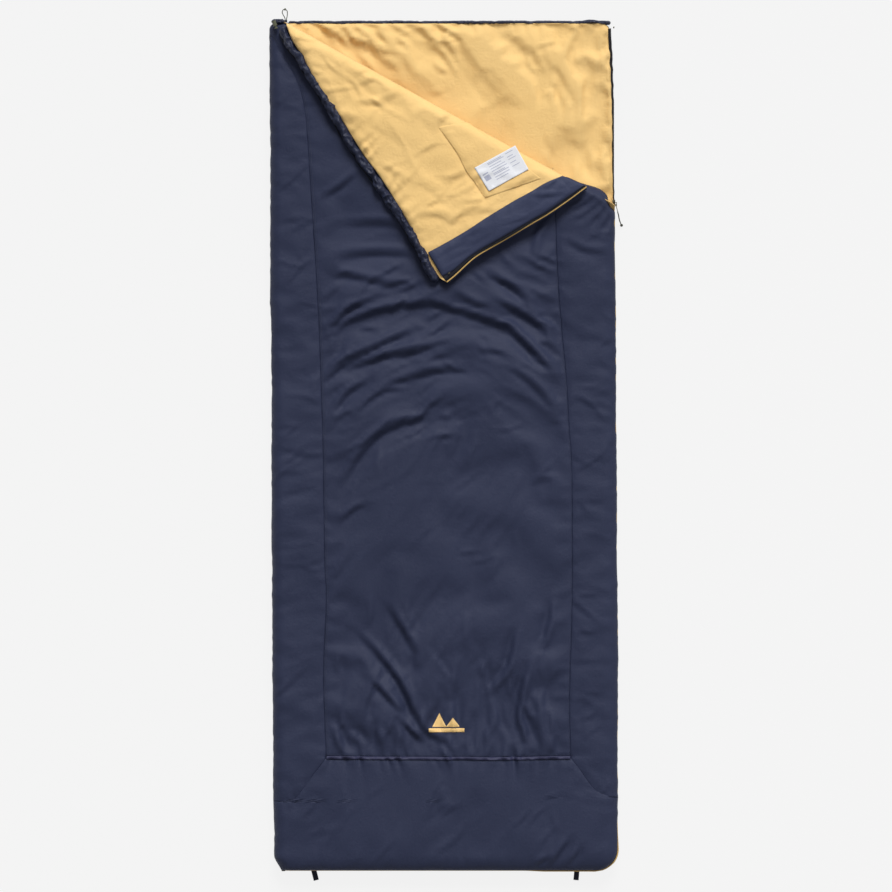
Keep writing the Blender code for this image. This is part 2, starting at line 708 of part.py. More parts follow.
def make_drawcord_loop():
    """The drawcord's free loop at the head, its tab on the hem and the bead on its end."""
    y_hem = HEAD_Y + GAP + HEM_WIDTH
    tab_end = y_hem + TAB_SIZE[1]
    low = (TAB_X - TAB_SIZE[0] / 2, y_hem + GAP, TAB_Z - TAB_SIZE[2] / 2)
    high = (TAB_X + TAB_SIZE[0] / 2, tab_end, TAB_Z + TAB_SIZE[2] / 2)
    rounded(box("drawcord_tab", low, high, webbing()), 0.0008)
    y_out = tab_end + 3 * GAP
    left = [(-0.0014, 0.0, 0.0), (-0.0020, 0.0042, -0.0024), (-0.0042, 0.0088, -0.0066)]
    top = [(-0.0072, 0.0140, -0.0090), (-0.0086, 0.0190, -0.0092), (-0.0066, 0.0238, -0.0092)]
    top += [(-0.0018, 0.0254, -0.0092), (0.0026, 0.0222, -0.0092), (0.0036, 0.0168, -0.0092)]
    right = [(0.0034, 0.0110, -0.0078), (0.0026, 0.0056, -0.0036), (0.0016, 0.0, 0.0)]
    points = [(TAB_X + x, y_out + y, TAB_Z + z) for x, y, z in left + top + right]
    tube("drawcord_loop", smooth_route(points, 4), LOOP_CORD_RADIUS, cord_stuff())
    inner, outer = BEAD_RADII
    ring = [(inner, -BEAD_HALF), (inner, BEAD_HALF), (outer, BEAD_HALF), (outer, -BEAD_HALF)]
    bead = turned("drawcord_bead", [*ring, ring[0]], webbing(), 12)
    bead.location = points[BEAD_POINT]
    bead.rotation_euler = (0.0, math.pi / 2, math.radians(-8))


def make_cord_lock():
    """A barrel lying on the cover, its sprung plunger, and the spring behind the plunger."""
    cup = [(0.0, LOCK_WALL), (LOCK_BORE, LOCK_WALL), (LOCK_BORE, LOCK_LENGTH)]
    cup += [(LOCK_RADIUS, LOCK_LENGTH), (LOCK_RADIUS, 0.0), (0.0, 0.0)]
    barrel = turned("cord_lock_barrel", cup, lock_plastic())
    low, high = PLUNGER_SPAN
    top = high + PLUNGER_CAP
    rod = [(0.0, top), (PLUNGER_CAP_RADIUS, top), (PLUNGER_CAP_RADIUS, high)]
    rod += [(PLUNGER_RADIUS, high), (PLUNGER_RADIUS, low), (0.0, low)]
    plunger = turned("cord_lock_plunger", rod, lock_plastic())
    start = LOCK_WALL + SPRING_WIRE + GAP
    end = low - SPRING_WIRE - GAP
    steps = 12 * SPRING_TURNS
    helix = []
    for i in range(steps + 1):
        angle = 2 * math.pi * SPRING_TURNS * i / steps
        rise = start + (end - start) * i / steps
        helix.append((SPRING_RADIUS * math.cos(angle), SPRING_RADIUS * math.sin(angle), rise))
    spring = tube("cord_lock_spring", helix, SPRING_WIRE, spring_steel())
    drill_lock(barrel, "lock_hole", LOCK_HOLE_AT)
    drill_lock(plunger, "plunger_hole", LOCK_HOLE_AT + PLUNGER_TRAVEL)
    for piece in (barrel, plunger, spring):
        piece.location = LOCK_BASE
        piece.rotation_euler = (0.0, math.pi / 2, LOCK_TURN)
    return [barrel, spring], [plunger]


def drill_lock(obj, name, height):
    """A cross hole for the cord, at a height along the lock."""
    mesh = bpy.data.meshes.new(name)
    shape = bmesh.new()
    radius = LOCK_HOLE_RADIUS
    bmesh.ops.create_cone(shape, cap_ends=True, segments=16, radius1=radius, radius2=radius, depth=0.02)
    across = Matrix.Rotation(math.pi / 2, 3, "X")
    bmesh.ops.rotate(shape, cent=(0, 0, 0), matrix=across, verts=shape.verts)
    bmesh.ops.translate(shape, vec=(0, 0, height), verts=shape.verts)
    shape.to_mesh(mesh)
    shape.free()
    drill = finish(bpy.data.objects.new(name, mesh), lock_plastic())
    drill.location = LOCK_BASE
    drill.rotation_euler = (0.0, math.pi / 2, LOCK_TURN)
    combine(obj, drill, "DIFFERENCE")


def make_cover():
    pieces = make_quilt_core("cover", cover_outline(), COVER_LOW, False)
    pieces += make_cover_shell()
    pieces += [make_foot_piping(), make_emblem(), make_cover_piping()]
    pieces += make_zip_side("cover", COVER_COIL_TOP, 1)
    pieces.append(make_hem("cover_hem", *COVER_HEM_SPAN, (COVER_LOW + COVER_TOP) / 2))
    return pieces


def main():
    clear_scene()
    make_back()
    make_zip_side("back", BACK_COIL_TOP, -1)
    make_zip_ends()
    make_drawcord_loop()
    for name, (middle_x, lean) in HANG_LOOPS.items():
        make_hang_loop(name, middle_x, lean)
    lock, plunger = make_cord_lock()
    hang_on(pivot("cover_hinge", (LEFT_X, 0.0, CHAIN_Z)), make_cover() + lock)
    hang_on(pivot("plunger_slide", LOCK_BASE), plunger)
    hang_on(pivot("fold_hinge", (*FOLD_C, FOLD_Z)), make_flap())
    hang_on(pivot("slider_run", (RIGHT_X, SLIDER_Y, CHAIN_Z)), [make_slider()])
    hang_on(pivot("puller_pivot", (PIVOT_X, PIVOT_Y, CHAIN_Z)), make_puller())


main()
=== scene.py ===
"""Looks of the rectangular sleeping bag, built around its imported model.

Metres, +X towards the zip side, +Y towards the head, +Z up. Two quilts lie on each other, the
back on the ground and the cover over it, and one head corner of the cover is folded back.
"""

import json
import logging
import math
from collections.abc import Callable, Sequence
from dataclasses import dataclass, field
from enum import Enum

import bmesh
import bpy
import numpy as np
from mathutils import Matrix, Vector


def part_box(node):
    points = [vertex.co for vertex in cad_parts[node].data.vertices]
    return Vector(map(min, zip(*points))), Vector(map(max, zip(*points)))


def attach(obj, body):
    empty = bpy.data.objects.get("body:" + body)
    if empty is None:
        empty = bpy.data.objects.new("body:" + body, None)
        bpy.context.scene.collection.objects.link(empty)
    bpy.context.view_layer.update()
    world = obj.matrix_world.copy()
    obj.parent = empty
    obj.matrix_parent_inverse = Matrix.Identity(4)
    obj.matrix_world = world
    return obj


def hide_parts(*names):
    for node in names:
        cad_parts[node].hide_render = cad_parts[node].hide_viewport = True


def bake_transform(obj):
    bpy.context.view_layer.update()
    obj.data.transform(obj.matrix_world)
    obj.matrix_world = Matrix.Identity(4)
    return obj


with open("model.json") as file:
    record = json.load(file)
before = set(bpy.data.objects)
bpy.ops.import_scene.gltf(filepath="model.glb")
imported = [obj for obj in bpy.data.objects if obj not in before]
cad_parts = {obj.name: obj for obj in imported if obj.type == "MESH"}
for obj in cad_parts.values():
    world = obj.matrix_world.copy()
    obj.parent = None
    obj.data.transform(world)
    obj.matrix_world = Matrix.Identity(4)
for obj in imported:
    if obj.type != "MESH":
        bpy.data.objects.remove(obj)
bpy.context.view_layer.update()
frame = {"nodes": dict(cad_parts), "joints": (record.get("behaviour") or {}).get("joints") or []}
LOG = logging.getLogger("sleeping_bag")

Grid = np.ndarray
Plan = Sequence[Sequence[float]] | np.ndarray

JOINTS = {joint["name"]: joint for joint in frame["joints"]}
HINGE_Z = JOINTS["cover_open"]["pos_m"][2]
FOLD_Z = JOINTS["corner_fold"]["pos_m"][2]
FOLD_C = np.array(JOINTS["corner_fold"]["pos_m"][:2])
FOLD_RUN = np.array(JOINTS["corner_fold"]["axis"][:2])
FOLD_IN = np.array((-FOLD_RUN[1], FOLD_RUN[0]))

# Heights of the layers, from the ground up.
GROUND = 0.0006
BACK_EDGE = 0.0215
BACK_FACE = 0.0250
COVER_INSIDE = 0.0350
COVER_EDGE = 0.0390
COVER_FACE = 0.0595
FLAP_SHELL = 0.0615
FLAP_EDGE = 0.0740
FLAP_FACE = 0.0875
CLOTH = 0.0011

# How far the linings stay from the folded side, the thickness of the zip's cloths, and of thread.
LINING_INSET = 0.0060
ZIP_CLOTH = 0.0009
THREAD_WIDE = 0.0009

# Cells over which known heights fade out beyond their grid.
SAMPLED_FADE = 3.0


# ---------------------------------------------------------------- shaders


class Sock:
    """A value in a shader, which adds Math nodes when it is used in arithmetic."""

    def __init__(self, graph: "Graph", out: bpy.types.NodeSocket) -> None:
        """Keeps the graph and the socket that gives the value."""
        self.graph = graph
        self.out = out

    def _math(self, operation: str, first: object, second: object = 0.0) -> "Sock":
        """One Math node.

        Args:
            operation: the node's operation.
            first: its first value, a number or a Sock.
            second: its second value.

        Returns:
            The node's result.
        """
        return self.graph.node("ShaderNodeMath", {"operation": operation}, {0: first, 1: second})

    def __add__(self, other: object) -> "Sock":
        """self + other."""
        return self._math("ADD", self, other)

    def __radd__(self, other: object) -> "Sock":
        """other + self."""
        return self._math("ADD", other, self)

    def __sub__(self, other: object) -> "Sock":
        """self - other."""
        return self._math("SUBTRACT", self, other)

    def __rsub__(self, other: object) -> "Sock":
        """other - self."""
        return self._math("SUBTRACT", other, self)

    def __mul__(self, other: object) -> "Sock":
        """self * other."""
        return self._math("MULTIPLY", self, other)

    def __rmul__(self, other: object) -> "Sock":
        """other * self."""
        return self._math("MULTIPLY", other, self)

    def sine(self) -> "Sock":
        """The sine of the value."""
        return self._math("SINE", self)

    def size(self) -> "Sock":
        """The value without its sign."""
        return self._math("ABSOLUTE", self)


class Graph:
    """The nodes of one material."""

    def __init__(self, name: str) -> None:
        """Starts a material with only its output and its main shader."""
        self.material = bpy.data.materials.new(name)
        self.material.use_nodes = True
        self.tree = self.material.node_tree
        self.shader = self.tree.nodes["Principled BSDF"]

    def node(self, kind: str, settings: dict, sockets: dict, out: int | str = 0) -> Sock:
        """Adds a node.

        Args:
            kind: the node's type.
            settings: its own settings, set first.
            sockets: the values or links of its inputs.
            out: which output is wanted.

        Returns:
            The wanted output.
        """
        made = self.tree.nodes.new(kind)
        for name, value in settings.items():
            setattr(made, name, value)
        for name, value in sockets.items():
            self.put(made.inputs[name], value)
        return Sock(self, made.outputs[out])

    def put(self, socket: bpy.types.NodeSocket, value: object) -> None:
        """Links a Sock to the socket, or sets the socket's own value."""
        if isinstance(value, Sock):
            self.tree.links.new(value.out, socket)
        else:
            socket.default_value = value

    def place(self) -> tuple[Sock, Sock]:
        """The point on the object.

        Returns:
            The point as a vector, and the node that splits it.
        """
        point = self.node("ShaderNodeTexCoord", {}, {}, "Object")
        return point, self.node("ShaderNodeSeparateXYZ", {}, {0: point})

    def noise(self, point: Sock, scale: float, detail: float = 2.0) -> Sock:
        """Soft noise from 0 to 1, with cells of about 1 / scale metres."""
        sockets = {"Vector": point, "Scale": scale, "Detail": detail}
        return self.node("ShaderNodeTexNoise", {}, sockets, 0)

    def mix(self, factor: object, first: object, second: object) -> Sock:
        """A mix of two colours."""
        return self.node(
            "ShaderNodeMix", {"data_type": "RGBA"}, {0: factor, 6: first, 7: second}, 2
        )


class Weave(Enum):
    """How a finish's surface is made."""

    PLAIN = "plain cloth"
    TWILL = "slanting cloth"
    RIBBED = "ribbed webbing"
    BRAID = "braided cord"
    SMOOTH = "moulded or cast"


@dataclass(frozen=True)
class Finish:
    """One material: its two tones, its gloss, and the relief that its weave gives it."""

    name: str
    tone: tuple[float, float, float]
    second: tuple[float, float, float]
    rough: float
    weave: Weave
    thread: float
    slot: str
    crinkle: float = 0.0
    crinkle_size: float = 0.012
    metallic: float = 0.0
    specular: float = 0.5
    sheen: float = 0.0
    patch: float = 6.0
    weave_depth: float = 0.00006

    def _weave_height(self, graph: Graph, split: Sock) -> Sock:
        """The height of the threads.

        Args:
            graph: the material's graph.
            split: the node that splits the point.

        Returns:
            A value of about -1 to 1.
        """
        x, y, z = (Sock(graph, split.out.node.outputs[i]) for i in range(3))
        turns = 2 * math.pi / self.thread
        if self.weave is Weave.TWILL:
            return ((x + y * 0.5 + z) * turns).sine()
        if self.weave is Weave.RIBBED:
            return ((x + z) * turns).sine() * 0.5 + ((y + z) * turns * 0.4).sine().size()
        if self.weave is Weave.BRAID:
            return ((x + y + z) * turns).sine() * ((x - y + z) * turns).sine()
        return ((x + z) * turns).sine() * ((y + z) * turns).sine()

    def material(self) -> bpy.types.Material:
        """Builds the material, or finds it again.

        Returns:
            The material.
        """
        if self.name in bpy.data.materials:
            return bpy.data.materials[self.name]
        graph = Graph(self.name)
        point, split = graph.place()
        broad = graph.noise(point, self.patch, 3.0)
        fine = graph.noise(point, 260.0, 2.0)
        tone = graph.mix(broad * 0.8 + fine * 0.2, (*self.tone, 1.0), (*self.second, 1.0))
        height = graph.noise(point, 900.0, 1.0) * 0.00003
        if self.weave is not Weave.SMOOTH:
            threads = self._weave_height(graph, split)
            height = height + threads * self.weave_depth
            tone = graph.mix(threads * 0.5 + 0.5, tone, graph.mix(0.12, tone, (0.0, 0.0, 0.0, 1.0)))
        if self.crinkle:
            soft = graph.noise(point, 1 / self.crinkle_size, 3.0)
            height = height + (soft - 0.5).size() * (2 * self.crinkle)
        bump = graph.node("ShaderNodeBump", {}, {"Strength": 1.0, "Distance": 1.0, "Height": height})
        shader = graph.shader
        graph.put(shader.inputs["Base Color"], tone)
        graph.put(shader.inputs["Roughness"], broad * 0.16 + fine * 0.06 + (self.rough - 0.11))
        graph.put(shader.inputs["Normal"], bump)
        graph.put(shader.inputs["Metallic"], self.metallic)
        graph.put(shader.inputs["Specular IOR Level"], self.specular)
        graph.put(shader.inputs["Sheen Weight"], self.sheen)
        graph.put(shader.inputs["Sheen Roughness"], 0.4)
        return graph.material

    def dress(self, *objects: bpy.types.Object) -> None:
        """Gives the objects this material."""
        for obj in objects:
            obj.data.materials.clear()
            obj.data.materials.append(self.material())


SHELL = Finish(
    "shell_cloth", (0.0245, 0.0303, 0.0630), (0.0303, 0.0372, 0.0762), 0.52, Weave.PLAIN, 0.0009,
    "shell_navy", crinkle=0.00050, crinkle_size=0.013, specular=0.14,
)
# The shell's navy painted darker, as painted shade in the gathered channels.
SHADED_HEM_CLOTH = Finish(
    "hem_cloth_painted_shade", (0.0165, 0.0205, 0.0440), (0.0245, 0.0300, 0.0620), 0.38, Weave.PLAIN, 0.0009,
    "shell_navy", crinkle=0.0005, crinkle_size=0.007, specular=0.26,
)
# The shell's navy painted lighter, as a painted sheen on the draft band.
SHEEN_BAND_CLOTH = Finish(
    "band_cloth_painted_sheen", (0.0330, 0.0410, 0.0840), (0.0410, 0.0500, 0.1000), 0.48, Weave.PLAIN, 0.0009,
    "shell_navy", crinkle=0.0004, crinkle_size=0.011, specular=0.16,
)
LINING = Finish(
    "lining_cloth", (0.865, 0.565, 0.212), (0.920, 0.630, 0.268), 0.72, Weave.PLAIN, 0.0010,
    "lining_yellow", crinkle=0.0008, crinkle_size=0.013, specular=0.20, sheen=0.10,
)
TAPE = Finish(
    "zip_tape_cloth", (0.008, 0.009, 0.016), (0.014, 0.016, 0.026), 0.70, Weave.TWILL, 0.0012,
    "zip_tape_black", specular=0.3,
)
COIL = Finish(
    "zip_teeth_nylon", (0.010, 0.011, 0.016), (0.018, 0.019, 0.027), 0.34, Weave.SMOOTH, 0.001,
    "coil_nylon",
)
PIPING = Finish(
    "piping_cloth", (0.560, 0.360, 0.110), (0.660, 0.430, 0.150), 0.66, Weave.TWILL, 0.0011,
    "piping_yellow", specular=0.3,
)
VIOLET = Finish(
    "seam_piping_cloth", (0.020, 0.022, 0.062), (0.027, 0.029, 0.078), 0.60, Weave.TWILL, 0.0011,
    "piping_violet", specular=0.4,
)
WEBBING = Finish(
    "webbing_weave", (0.012, 0.015, 0.030), (0.022, 0.025, 0.045), 0.78, Weave.RIBBED, 0.0020,
    "webbing_black", specular=0.3, weave_depth=0.00018,
)
METAL = Finish(
    "slider_metal_cast", (0.130, 0.120, 0.085), (0.210, 0.195, 0.140), 0.36, Weave.SMOOTH, 0.001,
    "slider_metal", metallic=0.85, patch=300.0,
)
CORD = Finish(
    "cord_braid", (0.045, 0.048, 0.034), (0.085, 0.088, 0.062), 0.78, Weave.BRAID, 0.0014,
    "cord_olive", specular=0.3, weave_depth=0.00015, patch=200.0,
)
LABEL_CLOTH = Finish(
    "label_satin", (0.790, 0.805, 0.850), (0.840, 0.850, 0.890), 0.55, Weave.PLAIN, 0.0007,
    "label_white", specular=0.4,
)
LABEL_INK = Finish(
    "label_ink", (0.420, 0.440, 0.560), (0.480, 0.500, 0.620), 0.60, Weave.PLAIN, 0.0007,
    "label_white",
)
THREAD = Finish(
    "seam_thread", (0.017, 0.023, 0.052), (0.024, 0.032, 0.068), 0.50, Weave.TWILL, 0.0006,
    "shell_navy",
)
GOLD_THREAD = Finish(
    "gold_thread", (0.860, 0.560, 0.210), (0.950, 0.680, 0.300), 0.42, Weave.TWILL, 0.0006,
    "piping_yellow", specular=0.6, patch=120.0,
)
PLASTIC = Finish(
    "lock_plastic_moulded", (0.075, 0.080, 0.045), (0.110, 0.112, 0.066), 0.42, Weave.SMOOTH, 0.001,
    "lock_plastic", patch=250.0,
)
STEEL = Finish(
    "spring_steel_wire", (0.50, 0.50, 0.51), (0.60, 0.60, 0.61), 0.28, Weave.SMOOTH, 0.001,
    "spring_steel", metallic=1.0, patch=300.0,
)


# ---------------------------------------------------------------- plan lines and relief


def smooth(points: Plan, per_span: int = 6) -> Grid:
    """A Catmull-Rom line through points of any dimension.

    Args:
        points: the points to pass through.
        per_span: steps from each point to the next.

    Returns:
        The line's points, one row each.
    """
    known = np.array(points, float)
    padded = np.vstack((2 * known[0] - known[1], known, 2 * known[-1] - known[-2]))
    steps = np.arange(per_span)[:, None] / per_span
    spans = []
    for a, b, c, d in zip(padded, padded[1:], padded[2:], padded[3:]):
        bend = (2 * a - 5 * b + 4 * c - d) * steps**2 + (3 * b - a - 3 * c + d) * steps**3
        spans.append((2 * b + (c - a) * steps + bend) / 2)
    return np.vstack((*spans, known[-1:]))


def length_of(line: Grid) -> float:
    """The length of a line of points."""
    return float(np.linalg.norm(np.diff(line, axis=0), axis=1).sum())


def resample(line: Grid, step: float) -> Grid:
    """Points an even step apart along a line.

    Args:
        line: the line's points.
        step: about how far apart the new ones are.

    Returns:
        The new points.
    """
    runs = np.concatenate(([0.0], np.cumsum(np.linalg.norm(np.diff(line, axis=0), axis=1))))
    places = np.linspace(0.0, runs[-1], max(2, round(runs[-1] / step) + 1))
    return np.stack([np.interp(places, runs, line[:, i]) for i in range(line.shape[1])], axis=1)


def with_count(line: Grid, count: int) -> Grid:
    """A line with another number of points, spread evenly over its old ones."""
    old, new = np.linspace(0, 1, len(line)), np.linspace(0, 1, count)
    return np.stack([np.interp(new, old, line[:, i]) for i in range(line.shape[1])], axis=1)


def beside(line: Grid, x: Grid, y: Grid) -> tuple[Grid, Grid, Grid]:
    """How points lie beside a line.

    Args:
        line: the line in plan.
        x: the points' x.
        y: the points' y.

    Returns:
        The distance, negative on the line's right, the distance run along it, and its share.
    """
    best = np.full(x.shape, 1e9)
    side = np.ones(x.shape)
    run = np.zeros(x.shape)
    gone = 0.0
    for (ax, ay), (bx, by) in zip(line[:-1, :2], line[1:, :2]):
        dx, dy = bx - ax, by - ay
        length = math.hypot(dx, dy)
        if length < 1e-9:
            continue
        share = np.clip(((x - ax) * dx + (y - ay) * dy) / length**2, 0.0, 1.0)
        away = np.hypot(x - ax - share * dx, y - ay - share * dy)
        near = away < best
        best = np.where(near, away, best)
        side = np.where(near, np.sign(dx * (y - ay) - dy * (x - ax) + 1e-12), side)
        run = np.where(near, gone + share * length, run)
        gone += length
    return best * side, run, run / gone


def lattice(x: Grid, y: Grid, seed: int) -> Grid:
    """Smooth noise from -1 to 1 on a lattice of unit cells.

    Args:
        x: the points' x, in cells.
        y: the points' y, in cells.
        seed: which random set.

    Returns:
        The noise at the points.
    """

    def corner(i: Grid, j: Grid) -> Grid:
        """The value at one corner of the lattice."""
        mixed = (i * 374761393 + j * 668265263 + seed * 97531) & 0xFFFFFFFF
        mixed = ((mixed ^ (mixed >> 13)) * 1274126177) & 0xFFFFFFFF
        return ((mixed ^ (mixed >> 16)) & 0xFFFF) / 32767.5 - 1.0

    i, j = np.floor(x).astype(np.int64), np.floor(y).astype(np.int64)
    u, v = x - i, y - j
    u, v = u * u * (3 - 2 * u), v * v * (3 - 2 * v)
    low = corner(i, j) * (1 - u) + corner(i + 1, j) * u
    high = corner(i, j + 1) * (1 - u) + corner(i + 1, j + 1) * u
    return low * (1 - v) + high * v


@dataclass(frozen=True)
class Crease:
    """A soft crease: a valley along a line, with a hump on its left. A negative depth is a ridge."""

    points: Plan
    depth: float
    width: float = 0.010
    lip: float = 0.7

    def at(self, x: Grid, y: Grid) -> Grid:
        """The height that it adds at the points.

        Args:
            x: the points' x.
            y: the points' y.

        Returns:
            What it adds to their z.
        """
        line = smooth(self.points, 5)
        reach = 5 * self.width
        low, high = line.min(axis=0) - reach, line.max(axis=0) + reach
        near = (x > low[0]) & (x < high[0]) & (y > low[1]) & (y < high[1])
        added = np.zeros(x.shape)
        if not near.any():
            return added
        away, _, share = beside(line, x[near], y[near])
        fade = np.sin(np.pi * np.clip(share, 0.02, 0.98)) ** 0.7
        ends = np.exp(-np.maximum(np.abs(away) - 2 * self.width, 0) / self.width)
        valley = -np.exp(-np.sqrt(away**2 + 0.0015**2) / np.where(away > 0, 0.55, 1.1) / self.width)
        hump = self.lip * np.exp(-(((away - 1.7 * self.width) / (1.1 * self.width)) ** 2))
        added[near] = self.depth * fade * ends * (valley + hump)
        return added


def scatter(
    count: int, middle: tuple[float, float], spread: tuple[float, float], turn: float, loose: float,
    depth: float, width: float, seed: int,
) -> list[Crease]:
    """Small creases strewn over a stretch of cloth.

    Args:
        count: how many.
        middle: the middle of the stretch.
        spread: its half sizes.
        turn: their usual direction, in degrees.
        loose: how far they stray from it.
        depth: the usual depth.
        width: the usual width.
        seed: which random set.

    Returns:
        The creases.
    """
    draw = np.random.default_rng(seed)
    made = []
    for _ in range(count):
        x = middle[0] + spread[0] * draw.uniform(-1, 1)
        y = middle[1] + spread[1] * draw.uniform(-1, 1)
        angle = math.radians(turn + loose * draw.uniform(-1, 1))
        half = draw.uniform(0.018, 0.050)
        bow = draw.uniform(-0.25, 0.25) * half
        c, s = math.cos(angle), math.sin(angle)
        points = ((x - half * c, y - half * s), (x - bow * s, y + bow * c), (x + half * c, y + half * s))
        made.append(Crease(points, depth * draw.uniform(0.5, 1.3), width * draw.uniform(0.7, 1.4), 0.9))
    return made


@dataclass(frozen=True)
class Groove:
    """A seam: the faces sink to it on both sides."""

    points: Plan
    depth: float = 0.0026
    width: float = 0.012

    def at(self, x: Grid, y: Grid) -> Grid:
        """The height that it adds at the points.

        Args:
            x: the points' x.
            y: the points' y.

        Returns:
            What it adds to their z.
        """
        away = np.abs(beside(smooth(self.points, 4), x, y)[0])
        return -self.depth * (0.55 * np.exp(-away / self.width) + 0.45 * np.exp(-away / 0.0035))


@dataclass(frozen=True)
class Gathers:
    """Small puckers that stand across a seam and fade away from it."""

    points: Plan
    height: float = 0.0010
    spacing: float = 0.014
    reach: float = 0.016
    seed: int = 1

    def at(self, x: Grid, y: Grid) -> Grid:
        """The height that it adds at the points.

        Args:
            x: the points' x.
            y: the points' y.

        Returns:
            What it adds to their z.
        """
        away, run, _ = beside(smooth(self.points, 4), x, y)
        lean = away * 6 * lattice(run / 0.09, 0 * run, self.seed)
        wave = lattice((run + lean * 0.1) / self.spacing, 0.6 * np.sign(away), self.seed + 7)
        fade = np.exp(-np.abs(away) / self.reach) * (1 - np.exp(-np.abs(away) / 0.002))
        return self.height * fade * wave * (1 + 0.5 * lattice(run / 0.05, 3 + 0 * run, self.seed))


@dataclass(frozen=True)
class Ripples:
    """Long soft wrinkles in one direction, or an even swell where along equals across."""

    height: float
    along: float
    across: float
    turn: float
    seed: int
    ridged: bool = False
    middle: tuple[float, float] | None = None
    spread: tuple[float, float] = (0.2, 0.2)

    def at(self, x: Grid, y: Grid) -> Grid:
        """The height that it adds at the points.

        Args:
            x: the points' x.
            y: the points' y.

        Returns:
            What it adds to their z.
        """
        c, s = math.cos(math.radians(self.turn)), math.sin(math.radians(self.turn))
        u, v = (x * c + y * s) / self.along, (y * c - x * s) / self.across
        v = v + 0.7 * lattice(u * 0.8, v * 0.35, self.seed + 3)
        wave = lattice(u, v, self.seed) + 0.45 * lattice(2 * u, 2 * v, self.seed + 1)
        if self.ridged:
            wave = 0.9 - 2 * np.sqrt(wave**2 + 0.01)
        if self.middle is None:
            return self.height * wave
        far = ((x - self.middle[0]) / self.spread[0]) ** 2 + ((y - self.middle[1]) / self.spread[1]) ** 2
        return self.height * wave * np.exp(-far)


@dataclass(frozen=True)
class Together:
    """Several features at a share of their strength."""

    features: list["Feature"]
    strength: float

    def at(self, x: Grid, y: Grid) -> Grid:
        """The height that it adds at the points.

        Args:
            x: the points' x.
            y: the points' y.

        Returns:
            What it adds to their z.
        """
        added = np.zeros(x.shape)
        for feature in self.features:
            added = added + self.strength * feature.at(x, y)
        return added


@dataclass(frozen=True)
class Sampled:
    """Heights known on a regular grid."""

    low: tuple[float, float]
    step: float
    heights: Grid

    def at(self, x: Grid, y: Grid) -> Grid:
        """The height that it adds at the points, by a smooth curve through the known ones.

        Args:
            x: the points' x.
            y: the points' y.

        Returns:
            What it adds to their z, which fades out beyond the grid.
        """
        rows, columns = self.heights.shape
        u_all, v_all = (x - self.low[0]) / self.step, (y - self.low[1]) / self.step
        u, v = np.clip(u_all, 0, columns - 1.001), np.clip(v_all, 0, rows - 1.001)
        outside = np.hypot(u_all - u, v_all - v)
        i, j = v.astype(int), u.astype(int)
        added = np.zeros(x.shape)
        for m, down in enumerate(self._weights(v - i)):
            row = np.clip(i + m - 1, 0, rows - 1)
            for n, across in enumerate(self._weights(u - j)):
                added = added + down * across * self.heights[row, np.clip(j + n - 1, 0, columns - 1)]
        kept = np.clip(1 - outside / SAMPLED_FADE, 0, 1)
        return added * kept**2 * (3 - 2 * kept)

    @staticmethod
    def _weights(t: Grid) -> tuple[Grid, Grid, Grid, Grid]:
        """What the four nearest rows or columns weigh."""
        return (
            -0.5 * t + t**2 - 0.5 * t**3, 1 - 2.5 * t**2 + 1.5 * t**3,
            0.5 * t + 2 * t**2 - 1.5 * t**3, 0.5 * t**3 - 0.5 * t**2,
        )


Feature = Crease | Groove | Gathers | Ripples | Together | Sampled


